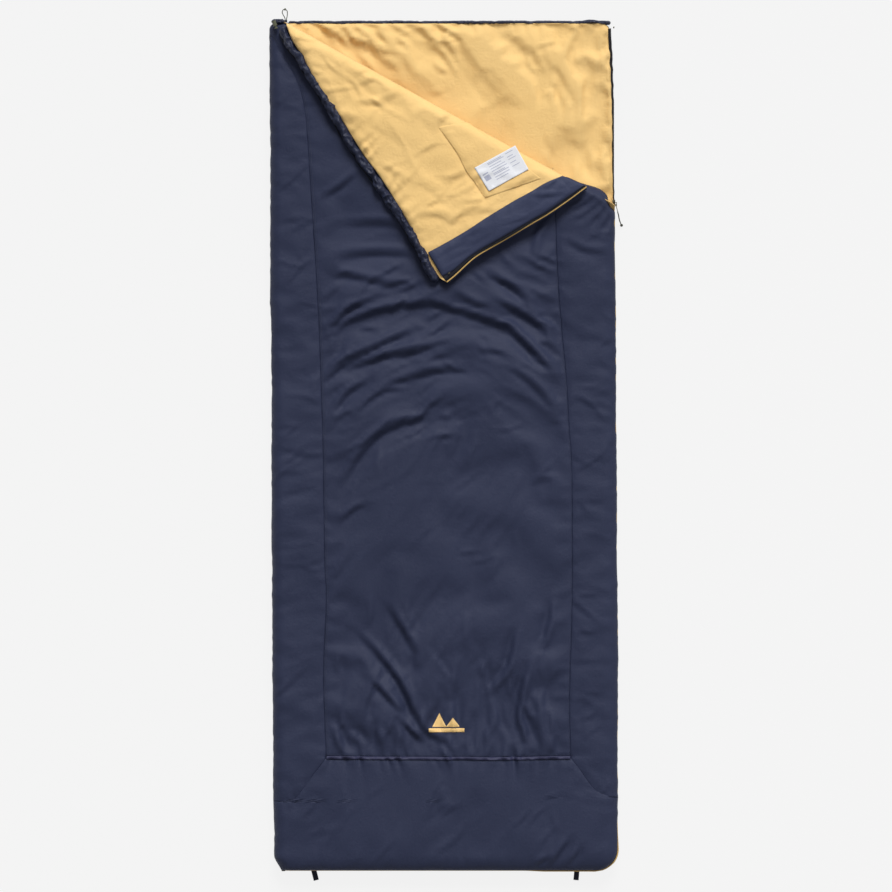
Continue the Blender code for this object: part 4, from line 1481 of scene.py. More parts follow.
@dataclass
class CoverQuilt:
    """The quilt on top: four cloth panels above, lining below."""

    step: float = 0.005

    def shell_face(self) -> Face:
        """The outer cloth, with its seams, creases and gathers.

        Returns:
            The face.
        """
        foot_seam = ((-0.2755, BAG.seam_y), (0.0, BAG.seam_y - 0.0015), (0.2990, BAG.seam_y))
        features: list[Feature] = [
            Ripples(0.0030, 0.30, 0.20, 10, 41),
            Ripples(0.0018, 0.14, 0.085, 30, 42),
            Ripples(0.0024, 0.13, 0.036, 24, 43, True, (-0.12, 0.20), (0.17, 0.24)),
            Ripples(0.0022, 0.12, 0.036, -30, 44, True, (0.16, 0.27), (0.14, 0.17)),
            Ripples(0.0018, 0.10, 0.026, 92, 45, True, (0.03, -0.60), (0.26, 0.13)),
            Ripples(0.0012, 0.12, 0.035, 60, 46, True, (0.0, -0.30), (0.30, 0.35)),
            Ripples(0.0009, 0.09, 0.030, 5, 47, True, (-0.35, 0.0), (0.06, 0.9)),
            Ripples(0.0009, 0.09, 0.030, 175, 48, True, (0.36, 0.0), (0.06, 0.9)),
            Ripples(0.0014, 0.12, 0.040, 70, 49, True, (0.0, -0.90), (0.40, 0.09)),
            Groove(BAG.left_seam),
            Groove(BAG.right_seam),
            Groove(foot_seam, 0.0042, 0.016),
            Groove(BAG.left_mitre, 0.0016, 0.008),
            Groove(BAG.right_mitre, 0.0016, 0.008),
            Gathers(BAG.left_seam, 0.0016, 0.017, 0.018, 51),
            Gathers(BAG.right_seam, 0.0012, 0.017, 0.018, 52),
            Gathers(foot_seam, 0.0105, 0.011, 0.016, 53),
            Gathers(BAG.left_mitre, 0.0012, 0.011, 0.012, 54),
            Gathers(BAG.right_mitre, 0.0012, 0.011, 0.012, 55),
            Gathers(BAG.left_line()[::5], 0.0014, 0.018, 0.014, 56),
            Gathers(BAG.right_line()[::5], 0.0014, 0.018, 0.014, 57),
            Gathers(BAG.end_line(BAG.foot), 0.0016, 0.016, 0.018, 58),
        ]
        features += [Crease(line, 1.7 * depth, 0.85 * width) for line, depth, width in self.creases()]
        features += [Crease(line, 0.0060, 0.0075) for line in self.puckers()]
        ridge = ((0.2750, 0.6200), (0.3350, 0.5980), (0.3760, 0.5760), (0.3900, 0.5500))
        features += [Crease(ridge, -0.0080, 0.012)]
        features += fan(26, -0.235, 0.270, 61)
        features += scatter(34, (-0.13, 0.22), (0.14, 0.22), 28, 22, 0.0026, 0.006, 62)
        features += scatter(22, (0.13, 0.30), (0.12, 0.14), -32, 24, 0.0024, 0.006, 63)
        features += scatter(26, (0.0, -0.10), (0.26, 0.22), 50, 45, 0.0015, 0.006, 64)
        features += scatter(26, (0.0, -0.52), (0.26, 0.18), 98, 26, 0.0024, 0.006, 65)
        features += scatter(24, (-0.345, 0.0), (0.04, 0.85), 20, 40, 0.0014, 0.005, 66)
        features += scatter(20, (0.355, -0.1), (0.035, 0.65), -10, 50, 0.0014, 0.005, 67)
        features += scatter(24, (0.0, -0.88), (0.36, 0.08), 60, 40, 0.0018, 0.006, 68)
        borders = [
            (BAG.end_line(BAG.head), COVER_EDGE, 0.014),
            (BAG.end_line(BAG.foot), COVER_EDGE, 0.038),
            (BAG.right, COVER_EDGE, 0.038),
            (BAG.left, HINGE_Z, 0.028),
            (np.array(BAG.roll), COVER_EDGE, 0.012),
        ]
        seams = [smooth(seam, 4) for seam in (BAG.left_seam, BAG.right_seam, foot_seam)]
        seams += [np.array(mitre) for mitre in (BAG.left_mitre, BAG.right_mitre)]
        settling = Settling(
            "cover_settling", (-0.404, -0.995), (0.404, 0.985), features, seams, strength=self.looseness,
        )
        return Face(COVER_FACE, borders, settling.features(), (0.0495, 0.0715), pressed=True)

    @staticmethod
    def creases() -> list[tuple]:
        """The large creases: line, depth and width of each.

        Returns:
            The creases.
        """
        return [
            (((-0.262, 0.272), (-0.222, 0.3155), (-0.175, 0.334)), 0.0040, 0.010),
            (((-0.252, 0.268), (-0.190, 0.296), (-0.1234, 0.315), (-0.006, 0.333)), 0.0048, 0.013),
            (((-0.2855, 0.142), (-0.2240, 0.194), (-0.1586, 0.2262), (-0.066, 0.270)), 0.0052, 0.012),
            (((-0.240, 0.168), (-0.1422, 0.2027), (-0.060, 0.220), (0.020, 0.2456)), 0.0044, 0.013),
            (((-0.2350, -0.100), (-0.1800, -0.0135), (-0.1187, 0.0405), (-0.015, 0.062)), 0.0046, 0.013),
            (((-0.238, -0.182), (-0.2100, -0.155), (-0.180, -0.138)), 0.0026, 0.009),
            (((0.0920, 0.407), (0.1516, 0.3719), (0.2120, 0.320)), 0.0040, 0.012),
            (((0.0750, 0.297), (0.1398, 0.2732), (0.1950, 0.230), (0.2480, 0.178)), 0.0042, 0.012),
            (((-0.0400, 0.335), (0.0280, 0.312), (0.0900, 0.298)), 0.0034, 0.010),
            (((0.1150, 0.341), (0.1900, 0.300), (0.2560, 0.250)), 0.0038, 0.011),
            (((-0.1340, -0.378), (-0.1022, -0.4318), (-0.0700, -0.490)), 0.0032, 0.011),
            (((-0.2120, -0.435), (-0.1610, -0.4906), (-0.1093, -0.5564), (-0.0787, -0.6198),
              (-0.0435, -0.6762), (0.0000, -0.7000)), 0.0046, 0.011),
            (((-0.1750, -0.550), (-0.1400, -0.588), (-0.1020, -0.630)), 0.0034, 0.009),
            (((-0.1060, -0.644), (-0.0800, -0.672), (-0.0500, -0.700)), 0.0032, 0.008),
            (((0.2480, -0.355), (0.2400, -0.415), (0.2240, -0.476)), 0.0032, 0.010),
            (((0.1980, -0.485), (0.1740, -0.5822), (0.1610, -0.682)), 0.0038, 0.010),
            (((0.1660, -0.418), (0.1445, -0.5117), (0.1000, -0.568)), 0.0034, 0.010),
            (((-0.255, 0.512), (-0.150, 0.517), (-0.050, 0.509)), 0.0026, 0.014),
            (((-0.255, 0.438), (-0.150, 0.446), (-0.050, 0.440)), 0.0028, 0.014),
            (((-0.280, 0.580), (-0.240, 0.604), (-0.200, 0.638)), 0.0036, 0.010),
            (((0.2550, -0.988), (0.2790, -0.953), (0.3000, -0.922)), 0.0040, 0.009),
            (((0.2980, -0.985), (0.3140, -0.962), (0.3230, -0.940)), 0.0034, 0.008),
            (((0.2230, -0.988), (0.2370, -0.975), (0.2480, -0.968)), 0.0030, 0.008),
            (((-0.250, 0.400), (-0.180, 0.385), (-0.100, 0.372)), 0.0030, 0.012),
            (((0.020, 0.360), (0.070, 0.330), (0.110, 0.322)), 0.0028, 0.010),
            (((-0.130, 0.140), (-0.040, 0.165), (0.060, 0.178)), 0.0026, 0.013),
            (((-0.255, 0.060), (-0.225, 0.115), (-0.170, 0.150)), 0.0030, 0.011),
            (((0.150, 0.180), (0.205, 0.140), (0.255, 0.085)), 0.0024, 0.012),
            (((0.285, 0.480), (0.330, 0.455), (0.385, 0.450)), 0.0024, 0.010),
            (((0.250, 0.560), (0.210, 0.500), (0.200, 0.440)), 0.0026, 0.012),
        ]

    @staticmethod
    def looseness(x: Grid, y: Grid) -> Grid:
        """How freely the cloth wrinkles: less in the side strips and the foot panel.

        Args:
            x: the points' x.
            y: the points' y.

        Returns:
            A share for each point.
        """
        inside = np.clip((x + 0.285) / 0.04, 0, 1) * np.clip((0.300 - x) / 0.04, 0, 1)
        above = np.clip((y + 0.7315) / 0.03, 0, 1)
        busy = np.exp(-(((y - 0.22) / 0.22) ** 2)) + np.exp(-(((y + 0.60) / 0.20) ** 2))
        return 0.28 + inside * above * np.clip(0.25 + 0.55 * busy, 0, 0.72)

    @staticmethod
    def puckers() -> list[Plan]:
        """The creases that spread from the end of the fold.

        Returns:
            Their lines.
        """
        return [
            ((0.332, 0.607), (0.300, 0.596), (0.266, 0.588)),
            ((0.348, 0.600), (0.320, 0.583), (0.286, 0.568)),
            ((0.364, 0.592), (0.336, 0.568), (0.300, 0.548)),
            ((0.376, 0.582), (0.353, 0.556), (0.322, 0.530)),
            ((0.385, 0.568), (0.370, 0.543), (0.348, 0.512)),
            ((0.395, 0.553), (0.386, 0.528), (0.374, 0.500)),
        ]

    def lining_face(self) -> Face:
        """The lining below, seen when the cover is opened.

        Returns:
            The face.
        """
        features: list[Feature] = [
            Ripples(0.0020, 0.24, 0.17, 15, 71),
            Ripples(0.0012, 0.14, 0.036, 30, 72, True),
            Gathers(BAG.right_line()[::6], 0.0016, 0.016, 0.014, 73),
        ]
        borders = [
            (BAG.end_line(BAG.head), COVER_EDGE, 0.012),
            (BAG.end_line(BAG.foot), COVER_EDGE, 0.018),
            (BAG.right, COVER_EDGE, 0.018),
            (BAG.fold_line(), FOLD_Z - 0.0008, 0.024),
            (lambda y: BAG.left(y) + LINING_INSET, HINGE_Z + 0.0008, 0.010),
        ]
        return Face(COVER_INSIDE, borders, features, (0.0318, 0.0400))

    def panels(self) -> dict[str, Panel]:
        """The four cloth panels of the outer face.

        Returns:
            The panels by name.
        """
        left = BAG.seam_x(BAG.left_seam, BAG.left_mitre, BAG.left)
        right = BAG.seam_x(BAG.right_seam, BAG.right_mitre, BAG.right)
        seam = BAG.seam_y

        def cut(edge: Edge) -> Edge:
            """An edge that the fold cuts short."""
            return lambda y: np.minimum(edge(y), BAG.folded_x(y))

        def rows(low: float, high: float) -> Grid:
            """Rows that fall on every bend of the mitres, so that panels meet along them."""
            bends = [y for _, y in BAG.left_mitre + BAG.right_mitre if low <= y <= high]
            return np.unique(np.round(np.concatenate((BAG.rows(low, high, self.step), bends)), 6))

        return {
            "left": Panel(rows(-0.8350, 0.9619), BAG.left, left, 0.13, self.step),
            "centre": Panel(BAG.rows(seam, BAG.head, self.step), left, cut(right), 0.57, self.step),
            "right": Panel(rows(-0.8262, 0.646), right, cut(BAG.right), 0.12, self.step),
            "foot": Panel(rows(BAG.foot, seam), left, right, 0.80, self.step),
        }

    def build(self) -> Face:
        """Makes the panels, the lining, the seams and their stitches.

        Returns:
            The outer face, which trim lies on.
        """
        face = self.shell_face()
        for side, panel in self.panels().items():
            piece = panel.sewn(f"cover_{side}_cloth", face, True)
            SHELL.dress(piece)
            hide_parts(f"cover_{side}_panel")
            if side != "right":
                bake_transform(piece)
            else:
                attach(piece, "cover")
        rows = BAG.rows(BAG.foot, BAG.head, 0.007)
        inside = Panel(
            rows, lambda y: BAG.left(y) + LINING_INSET,
            lambda y: np.minimum(BAG.right(y) - 0.0006, BAG.fold_x(y)), 0.8, 0.007,
        )
        lining = inside.sewn("cover_quilt_lining", self.lining_face(), False)
        LINING.dress(lining)
        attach(lining, "cover")
        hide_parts("cover_lining", "cover_insulation")
        self.sew(face)
        LOG.info("cover quilt: four panels and the lining")
        return face

    def sew(self, face: Face) -> None:
        """Stitches the seams, and lays the coloured strip in the foot seam.

        Args:
            face: the face that it lies on.
        """
        for name, seam, shift in (
            ("left", BAG.left_seam, 0.0022), ("left_inner", BAG.left_seam, 0.0062),
            ("right", BAG.right_seam, -0.0022),
        ):
            line = resample(smooth(seam, 5), 0.02) + (shift, 0.0)
            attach(stitches(f"cover_seam_stitches_{name}", line, face, 0.0042), "cover")
        x = np.linspace(-0.2750, 0.2985, 240)
        y = BAG.seam_y - 0.0015 * np.sin(np.pi * (x + 0.275) / 0.5735) + 0.0008 * lattice(x / 0.05, 0 * x, 81)
        line = np.column_stack((x, y))
        half = 0.0036
        low, high = (on_face(line + (0, shift), face, 0.0014) for shift in (-half, half))
        piping = strip("foot_seam_strip", low, high, 0.0016)
        VIOLET.dress(piping)
        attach(piping, "cover")
        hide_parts("foot_seam_piping")
        for name, shift in (("upper", 0.0062), ("lower", -0.0060)):
            row = stitches(f"foot_seam_stitches_{name}", line + (0, shift), face, 0.0040)
            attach(row, "cover")


@dataclass
class FoldedCorner:
    """The head corner of the cover, folded back with its lining up."""

    step: float = 0.004
    deep: float = 0.352
    band_low: float = 0.0845
    band_high: float = 0.0905
    tape_inner: float = 0.0852
    tape_outer: float = 0.0822
    piping_z: float = 0.0830
    piping_round: float = 0.0017

    def lining_face(self) -> Face:
        """The lining, which is on top.

        Returns:
            The face.
        """
        hem, zipper = smooth(CORNER.hem_side, 4), smooth(CORNER.zip_side, 4)
        seam = CORNER.pocket_seam
        features: list[Feature] = [
            Ripples(0.0022, 0.20, 0.13, -30, 91),
            Ripples(0.0014, 0.12, 0.034, -58, 92, True, (-0.16, 0.74), (0.2, 0.2)),
            Ripples(0.0014, 0.10, 0.032, 30, 93, True, (0.10, 0.58), (0.22, 0.1)),
            Groove(seam, 0.0030, 0.008),
            Gathers(seam, 0.0014, 0.011, 0.010, 94),
            Crease(((0.075, 0.625), (0.088, 0.600), (0.096, 0.575)), 0.0036, 0.007),
            Crease(((0.096, 0.628), (0.104, 0.606), (0.108, 0.580)), 0.0028, 0.006),
            Crease(((-0.0128, 0.752), (0.010, 0.765), (0.030, 0.775)), 0.0016, 0.008),
            Crease(((-0.250, 0.880), (-0.195, 0.842), (-0.120, 0.795)), 0.0022, 0.014),
            Crease(((-0.200, 0.760), (-0.150, 0.735), (-0.080, 0.690)), 0.0022, 0.015),
            Crease(((-0.090, 0.620), (-0.040, 0.600), (0.010, 0.560)), 0.0024, 0.014),
            Crease(((-0.060, 0.530), (-0.015, 0.535), (0.035, 0.520)), 0.0026, 0.010),
            Crease(((0.135, 0.580), (0.180, 0.612), (0.235, 0.640)), 0.0026, 0.010),
            Crease(((-0.020, 0.800), (0.060, 0.745), (0.120, 0.720)), -0.0016, 0.014),
            Gathers(CORNER.hem_side, 0.0044, 0.011, 0.022, 95),
            Gathers(CORNER.band_upper, 0.0026, 0.014, 0.014, 96),
            Gathers(BAG.fold_line(), 0.0016, 0.022, 0.024, 97),
        ]
        features += scatter(30, (-0.24, 0.86), (0.10, 0.10), -10, 40, 0.0022, 0.006, 151)
        features += scatter(30, (-0.10, 0.66), (0.14, 0.14), 20, 50, 0.0016, 0.006, 152)
        features += scatter(20, (0.12, 0.58), (0.14, 0.06), 34, 40, 0.0018, 0.006, 153)
        borders = [
            (hem, FLAP_EDGE + 0.004, 0.018),
            (zipper, FLAP_EDGE + 0.004, 0.014),
            (BAG.fold_line(), FOLD_Z, 0.026),
        ]
        settling = Settling(
            "corner_settling", (-0.390, 0.370), (0.402, 1.008), features, [smooth(CORNER.pocket_seam, 4)],
            slack=0.018, push=0.20, most=0.0060, crisp=0.85, strength=self.looseness,
        )
        return Face(FLAP_FACE, borders, settling.features(), (0.0795, 0.0945))

    @staticmethod
    def looseness(x: Grid, y: Grid) -> Grid:
        """How freely the lining wrinkles: most near the fold and the channel.

        Args:
            x: the points' x.
            y: the points' y.

        Returns:
            A share for each point.
        """
        fold = np.exp(-(((x - FOLD_C[0]) * FOLD_IN[0] + (y - FOLD_C[1]) * FOLD_IN[1]) / 0.05) ** 2)
        hem = np.exp(-((beside(smooth(CORNER.hem_side, 3), x, y)[0] / 0.045) ** 2))
        return 0.22 + 0.5 * np.maximum(0.7 * fold, hem)

    def shell_face(self) -> Face:
        """The outer cloth, which is below here and on top when the corner lies flat again.

        Returns:
            The face.
        """
        features: list[Feature] = [
            Ripples(0.0010, 0.20, 0.14, 20, 98),
            Ripples(0.0008, 0.12, 0.034, 40, 99, True),
        ]
        borders = [
            (smooth(CORNER.hem_side, 4), FLAP_EDGE, 0.020),
            (smooth(CORNER.zip_side, 4), FLAP_EDGE, 0.020),
        ]
        return Face(FLAP_SHELL, borders, features, (FOLD_Z + 0.0004, 0.0650))

    def build(self) -> Face:
        """Makes the corner's cloth, channel, band, zip and piping.

        Returns:
            The lining's face, which trim lies on.
        """
        face = self.lining_face()
        left, right = CORNER.edge(CORNER.zip_side), CORNER.edge(CORNER.hem_side)
        rows = graded(0.0004, self.deep, self.step, 0.0018, 0.030)
        plan = Panel(rows, left, right, 0.72, self.step, folded=True)
        lining = plan.sewn("corner_lining", face, True)
        bulge = CORNER.edge([(x + 0.0021, y - 0.0034) for x, y in CORNER.zip_side])
        below = Panel(rows, bulge, right, 0.72, self.step, folded=True)
        shell = below.sewn("corner_shell", self.shell_face(), False)
        LINING.dress(lining)
        SHELL.dress(shell)
        for piece, stood_for in ((lining, ("flap_lining", "flap_insulation")), (shell, ("flap_shell",))):
            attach(piece, "flap")
            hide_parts(*stood_for)
        self.channel()
        self.band(face)
        self.zip_edge(face)
        self.pocket(face)
        LOG.info("folded corner: %d points of lining", len(lining.data.vertices))
        return face

    def channel(self) -> None:
        """The gathered head channel, with dark tubes along both sides as painted shade lines."""
        middle = smooth((
            (-0.3745, 0.9870, 0.0660), (-0.3690, 0.9600, 0.0710), (-0.3390, 0.9135, 0.0745),
            (-0.2893, 0.8328, 0.0755), (-0.2169, 0.7113, 0.0755), (-0.1702, 0.6412, 0.0755),
            (-0.1141, 0.5595, 0.0755), (-0.0674, 0.4847, 0.0755), (-0.0450, 0.4380, 0.0755),
            (-0.0290, 0.4080, 0.0745), (-0.0125, 0.3860, 0.0730),
        ), 8)
        line = resample(middle, 0.0014)
        run = np.arange(len(line)) * 0.0014
        line[:, 0] += 0.0020 * lattice(run / 0.022, 0 * run, 108)
        line[:, 2] += 0.0012 * lattice(run / 0.030, 0 * run, 109)
        hem = sweep("corner_hem", line, ruched_section(0.0102, 0.0112, 0.0150, 0.26, 101), 40)
        SHADED_HEM_CLOTH.dress(hem)
        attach(hem, "flap")
        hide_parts("flap_hem")
        heading = np.gradient(line, axis=0)
        heading /= np.linalg.norm(heading, axis=1)[:, None]
        side = np.cross(heading, (0, 0, 1.0))
        # Dark tape tubes along both sides of the channel: painted shade lines where it meets the cloth.
        for name, shift, drop in (("outer", 0.0112, -0.0065), ("inner", -0.0108, 0.0025)):
            edge = line + side * shift + (0, 0, drop)
            edge[:, 2] += 0.0007 * lattice(np.arange(len(edge)) / 7.0, np.zeros(len(edge)), 103)
            shade_tube = sweep(f"corner_hem_shade_line_{name}", edge[8:-6], round_section(0.0014, 0.8), 8)
            TAPE.dress(shade_tube)
            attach(shade_tube, "flap")

    def band(self, face: Face) -> None:
        """The draft band along the zip, a flat tube of cloth.

        Args:
            face: the face that it lies on.
        """
        upper = resample(smooth(CORNER.band_upper, 6), 0.003)
        count = len(upper)
        lower = with_count(smooth(CORNER.band_lower, 6), count)
        share = graded(0.0, 0.06, 0.003, 0.0012, 0.008)[None, :, None] / 0.06
        plan = upper[:, None, :] * (1 - share) + lower[:, None, :] * share
        x, y = plan[..., 0], plan[..., 1]
        run = np.linspace(0, 1, count)[:, None]
        across = share[..., 0]
        puff = np.sqrt(np.clip(1 - np.abs(2 * across - 1) ** 3, 0, 1))
        ends = np.clip(np.minimum(run / 0.03, (1 - run) / 0.10), 0, 1) ** 0.5
        wave = Ripples(0.0010, 0.09, 0.022, 31, 105, True).at(x, y)
        wave = wave + Ripples(0.0008, 0.05, 0.03, 110, 106).at(x, y)
        base = np.clip(face.height(x, y), self.band_low, self.band_high)
        z = base + 0.0008 + (0.0042 + wave) * puff * ends
        obj = add_cloth("draft_band", np.stack((x, y, z), axis=-1), flip=True)
        SHEEN_BAND_CLOTH.dress(obj)
        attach(obj, "flap")
        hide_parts("draft_tube")
        self.lower_edge = np.stack((x[:, -1], y[:, -1], z[:, -1]), axis=-1)
        seam = resample(np.stack((x[:, 3], y[:, 3], z[:, 3] + 0.0002), axis=-1)[2:-8], 0.0042)
        stitch = capsule(0.0030, THREAD_WIDE, THREAD_WIDE)
        row = many("draft_band_stitches", stitch, seam, np.gradient(seam, axis=0))
        THREAD.dress(row)
        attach(row, "flap")

    def zip_edge(self, face: Face) -> None:
        """The zip's tape and teeth along the corner's edge, and the piping outside them.

        Args:
            face: the face that it lies on.
        """
        outer = resample(smooth(CORNER.zip_side, 6), 0.003)[::-1]
        count = len(outer)
        inner = with_count(self.lower_edge, count)
        inner[:, 2] = self.tape_inner
        outer3 = np.column_stack((outer, np.full(count, self.tape_outer)))
        share = np.linspace(0, 1, 9)[None, :, None]
        cloth = inner[:, None, :] * (1 - share) + outer3[:, None, :] * share
        cloth[..., 2] = np.maximum(cloth[..., 2], face.height(cloth[..., 0], cloth[..., 1]) + 0.0010)
        tape = add_cloth("corner_zip_tape", cloth, ZIP_CLOTH, 0.0)
        TAPE.dress(tape)
        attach(tape, "flap")
        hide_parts("flap_zip_tape")
        teeth_line = resample(cloth[:, 5], 0.0022)
        teeth_line[:, 2] += 0.0011
        heading = np.gradient(teeth_line, axis=0)
        across = np.cross(heading, (0, 0, 1.0))
        teeth = many("corner_zip_teeth", capsule(0.0036, 0.0014, 0.0018), teeth_line, across)
        COIL.dress(teeth)
        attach(teeth, "flap")
        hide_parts("flap_zip_coil")
        rise = self.piping_z + 0.0006 * lattice(outer[:, 0] / 0.03, 0 * outer[:, 0], 107)
        piping = sweep("corner_piping", np.column_stack((outer, rise)), round_section(self.piping_round), 10)
        PIPING.dress(piping)
        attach(piping, "flap")
        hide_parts("flap_zip_piping")

    def pocket(self, face: Face) -> None:
        """The small inner pocket, whose edge shows as an L-shaped seam.

        Args:
            face: the face that it lies on.
        """
        low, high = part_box("inner_pocket")
        seam = resample(smooth(CORNER.pocket_seam, 5), 0.004)
        count = len(seam)
        share = np.linspace(0, 1, count)[:, None]
        far = np.array((high.x * 0.25, high.y + 0.004)) * (1 - share) + np.array((high.x, 0.6262)) * share
        columns = np.linspace(0, 1, 46)[None, :, None]
        plan = seam[:, None, :] * (1 - columns) + far[:, None, :] * columns
        x, y = plan[..., 0], plan[..., 1]
        sunk = np.maximum(np.maximum(columns[..., 0], share), 1 - 4 * share) ** 3
        z = face.height(x, y) + 0.0004 - 0.0014 * sunk
        patch = add_cloth("pocket_cloth", np.stack((x, y, z), axis=-1), 0.0012)
        LINING.dress(patch)
        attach(patch, "flap")
        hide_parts("inner_pocket")


@dataclass
class CareLabel:
    """A satin label sewn to the lining, with plain bars for its printing."""

    thick: float = 0.0005
    bars: int = 9

    def point(self, along: Grid, down: Grid) -> Grid:
        """Places on the label.

        Args:
            along: the shares along its long side.
            down: the shares down its short side.

        Returns:
            The places in plan.
        """
        a, b, c, d = (np.array(corner) for corner in CORNER.label)
        along, down = along[..., None], down[..., None]
        return (a * (1 - along) + b * along) * (1 - down) + (d * (1 - along) + c * along) * down

    def height(self, face: Face, spot: Grid, along: Grid, down: Grid) -> Grid:
        """The label's height: it lies on the cloth and its free edge curls a little.

        Args:
            face: the face that it lies on.
            spot: the places in plan.
            along: their shares along the long side.
            down: their shares down the short side.

        Returns:
            Their z.
        """
        below = face.height(spot[..., 0], spot[..., 1])
        calm = 0.5 * below.max() + 0.5 * below.mean()
        lift = np.maximum(below + 0.0010, calm) + 0.0006
        return lift + 0.0008 * down**2 + 0.0004 * np.sin(along * 5 + down * 2)

    def build(self, face: Face) -> None:
        """Makes the label and its bars.

        Args:
            face: the face that it lies on.
        """
        along, down = np.meshgrid(np.linspace(0, 1, 34), np.linspace(0, 1, 22))
        spot = self.point(along, down)
        z = self.height(face, spot, along, down)
        points = np.concatenate((spot, z[..., None]), axis=-1)
        label = add_cloth("care_label_satin", points, self.thick, 1.0, flip=True)
        LABEL_CLOTH.dress(label)
        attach(label, "flap")
        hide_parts("care_label")
        self.print_bars(points)
        LOG.info("care label")

    def print_bars(self, points: Grid) -> None:
        """Lays plain bars on the label, as raised print.

        Args:
            points: the label's points, row by row.
        """
        top = points + (0, 0, 0.0006)
        rows = [(0.10 + 0.085 * i, 0.28, 0.62 + 0.05 * math.sin(i * 2.2)) for i in range(self.bars)]
        rows += [(0.14 + 0.12 * i, 0.72, 0.90 - 0.04 * (i % 2)) for i in range(5)]
        rows += [(0.42 + 0.06 * i, 0.07, 0.20) for i in range(5)]
        pieces = []
        for n, (down, start, end) in enumerate(rows):
            columns = np.linspace(start, end, 12) * (top.shape[1] - 1)
            i, j = int(down * (top.shape[0] - 1)), columns.astype(int)
            f = (columns - j)[:, None]
            line = top[i, j] * (1 - f) + top[i, np.minimum(j + 1, top.shape[1] - 1)] * f
            bold = 0.0016 if n >= self.bars + 5 else 0.0008
            pieces.append(sweep(f"label_bar_{n}", line, round_section(bold, 0.25), 6))
        joined = join("care_label_bars", pieces)
        LABEL_INK.dress(joined)
        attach(joined, "flap")


def join(name: str, pieces: list[bpy.types.Object]) -> bpy.types.Object:
    """Joins pieces of one finish into one object.

    Args:
        name: the joined piece's name.
        pieces: the pieces, which are removed.

    Returns:
        The joined piece.
    """
    made = bmesh.new()
    for piece in pieces:
        made.from_mesh(piece.data)
        mesh = piece.data
        bpy.data.objects.remove(piece)
        bpy.data.meshes.remove(mesh)
    mesh = bpy.data.meshes.new(name)
    made.to_mesh(mesh)
    made.free()
    mesh.shade_smooth()
    return add_object(name, mesh)


@dataclass
class Emblem:
    """A generic mark in gold thread: two hills on a bar."""

    pitch: float = 0.0011

    def build(self, face: Face) -> None:
        """Lays the threads side by side.

        Args:
            face: the face that it lies on.
        """
        low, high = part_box("embroidered_emblem")
        wide, tall = high.x - low.x, high.y - low.y
        bar = 0.20 * tall
        peaks = ((low.x + 0.30 * wide, 0.27 * wide, tall), (low.x + 0.68 * wide, 0.30 * wide, 0.76 * tall))
        threads = []
        for x in np.arange(low.x + 0.001, high.x, self.pitch):
            hill = max(top * (1 - abs(x - middle) / half) for middle, half, top in peaks)
            threads.append(((x, low.y), (x, low.y + bar)))
            if hill > bar * 1.5:
                threads.append(((x, low.y + bar * 1.35), (x, low.y + hill)))
        pieces = []
        for n, (a, b) in enumerate(threads):
            line = np.linspace(a, b, 6)
            arch = 0.0016 * np.sin(np.pi * np.linspace(0.12, 0.88, 6))
            points = on_face(line, face, 0.0) + np.column_stack((0 * arch, 0 * arch, arch))
            pieces.append(sweep(f"thread_{n}", points, round_section(0.00062), 6))
        mark = join("emblem_threads", pieces)
        GOLD_THREAD.dress(mark)
        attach(mark, "cover")
        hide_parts("embroidered_emblem")
        LOG.info("emblem: %d threads", len(threads))


@dataclass
class HeadHems:
    """The gathered channels along the head end of the back and of the cover."""

    back_y: float = 0.9986
    back_z: float = 0.0150
    cover_y: float = 0.9978
    cover_z: float = 0.0500
    knot_x: float = 0.350

    def build(self) -> None:
        """Makes the back's channel and the cover's short one."""
        low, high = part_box("back_hem")
        x = np.arange(low.x - 0.004, high.x + 0.003, 0.0014)
        lump = np.exp(-(((x - self.knot_x) / 0.018) ** 2))
        y = self.back_y + 0.0010 * lattice(x / 0.05, 0 * x, 111) + 0.0026 * lump
        z = self.back_z + 0.0014 * lattice(x / 0.06, 0 * x + 3, 112) + 0.0030 * lump
        channel = ruched_section(0.0044, 0.0100, 0.0120, 0.17, 113)
        hem = sweep("back_head_hem", np.column_stack((x, y, z)), channel, 28)
        SHADED_HEM_CLOTH.dress(hem)
        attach(hem, "back")
        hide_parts("back_hem")
        low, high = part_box("cover_hem")
        x = np.arange(low.x - 0.002, high.x + 0.007, 0.0012)
        line = np.column_stack((x, self.cover_y + 0 * x, self.cover_z + 0.0006 * np.sin(x * 400)))
        short = sweep("cover_head_hem", line, ruched_section(0.0054, 0.0095, 0.0075, 0.2, 114), 28)
        SHADED_HEM_CLOTH.dress(short)
        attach(short, "cover")
        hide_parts("cover_hem")
        LOG.info("head channels")


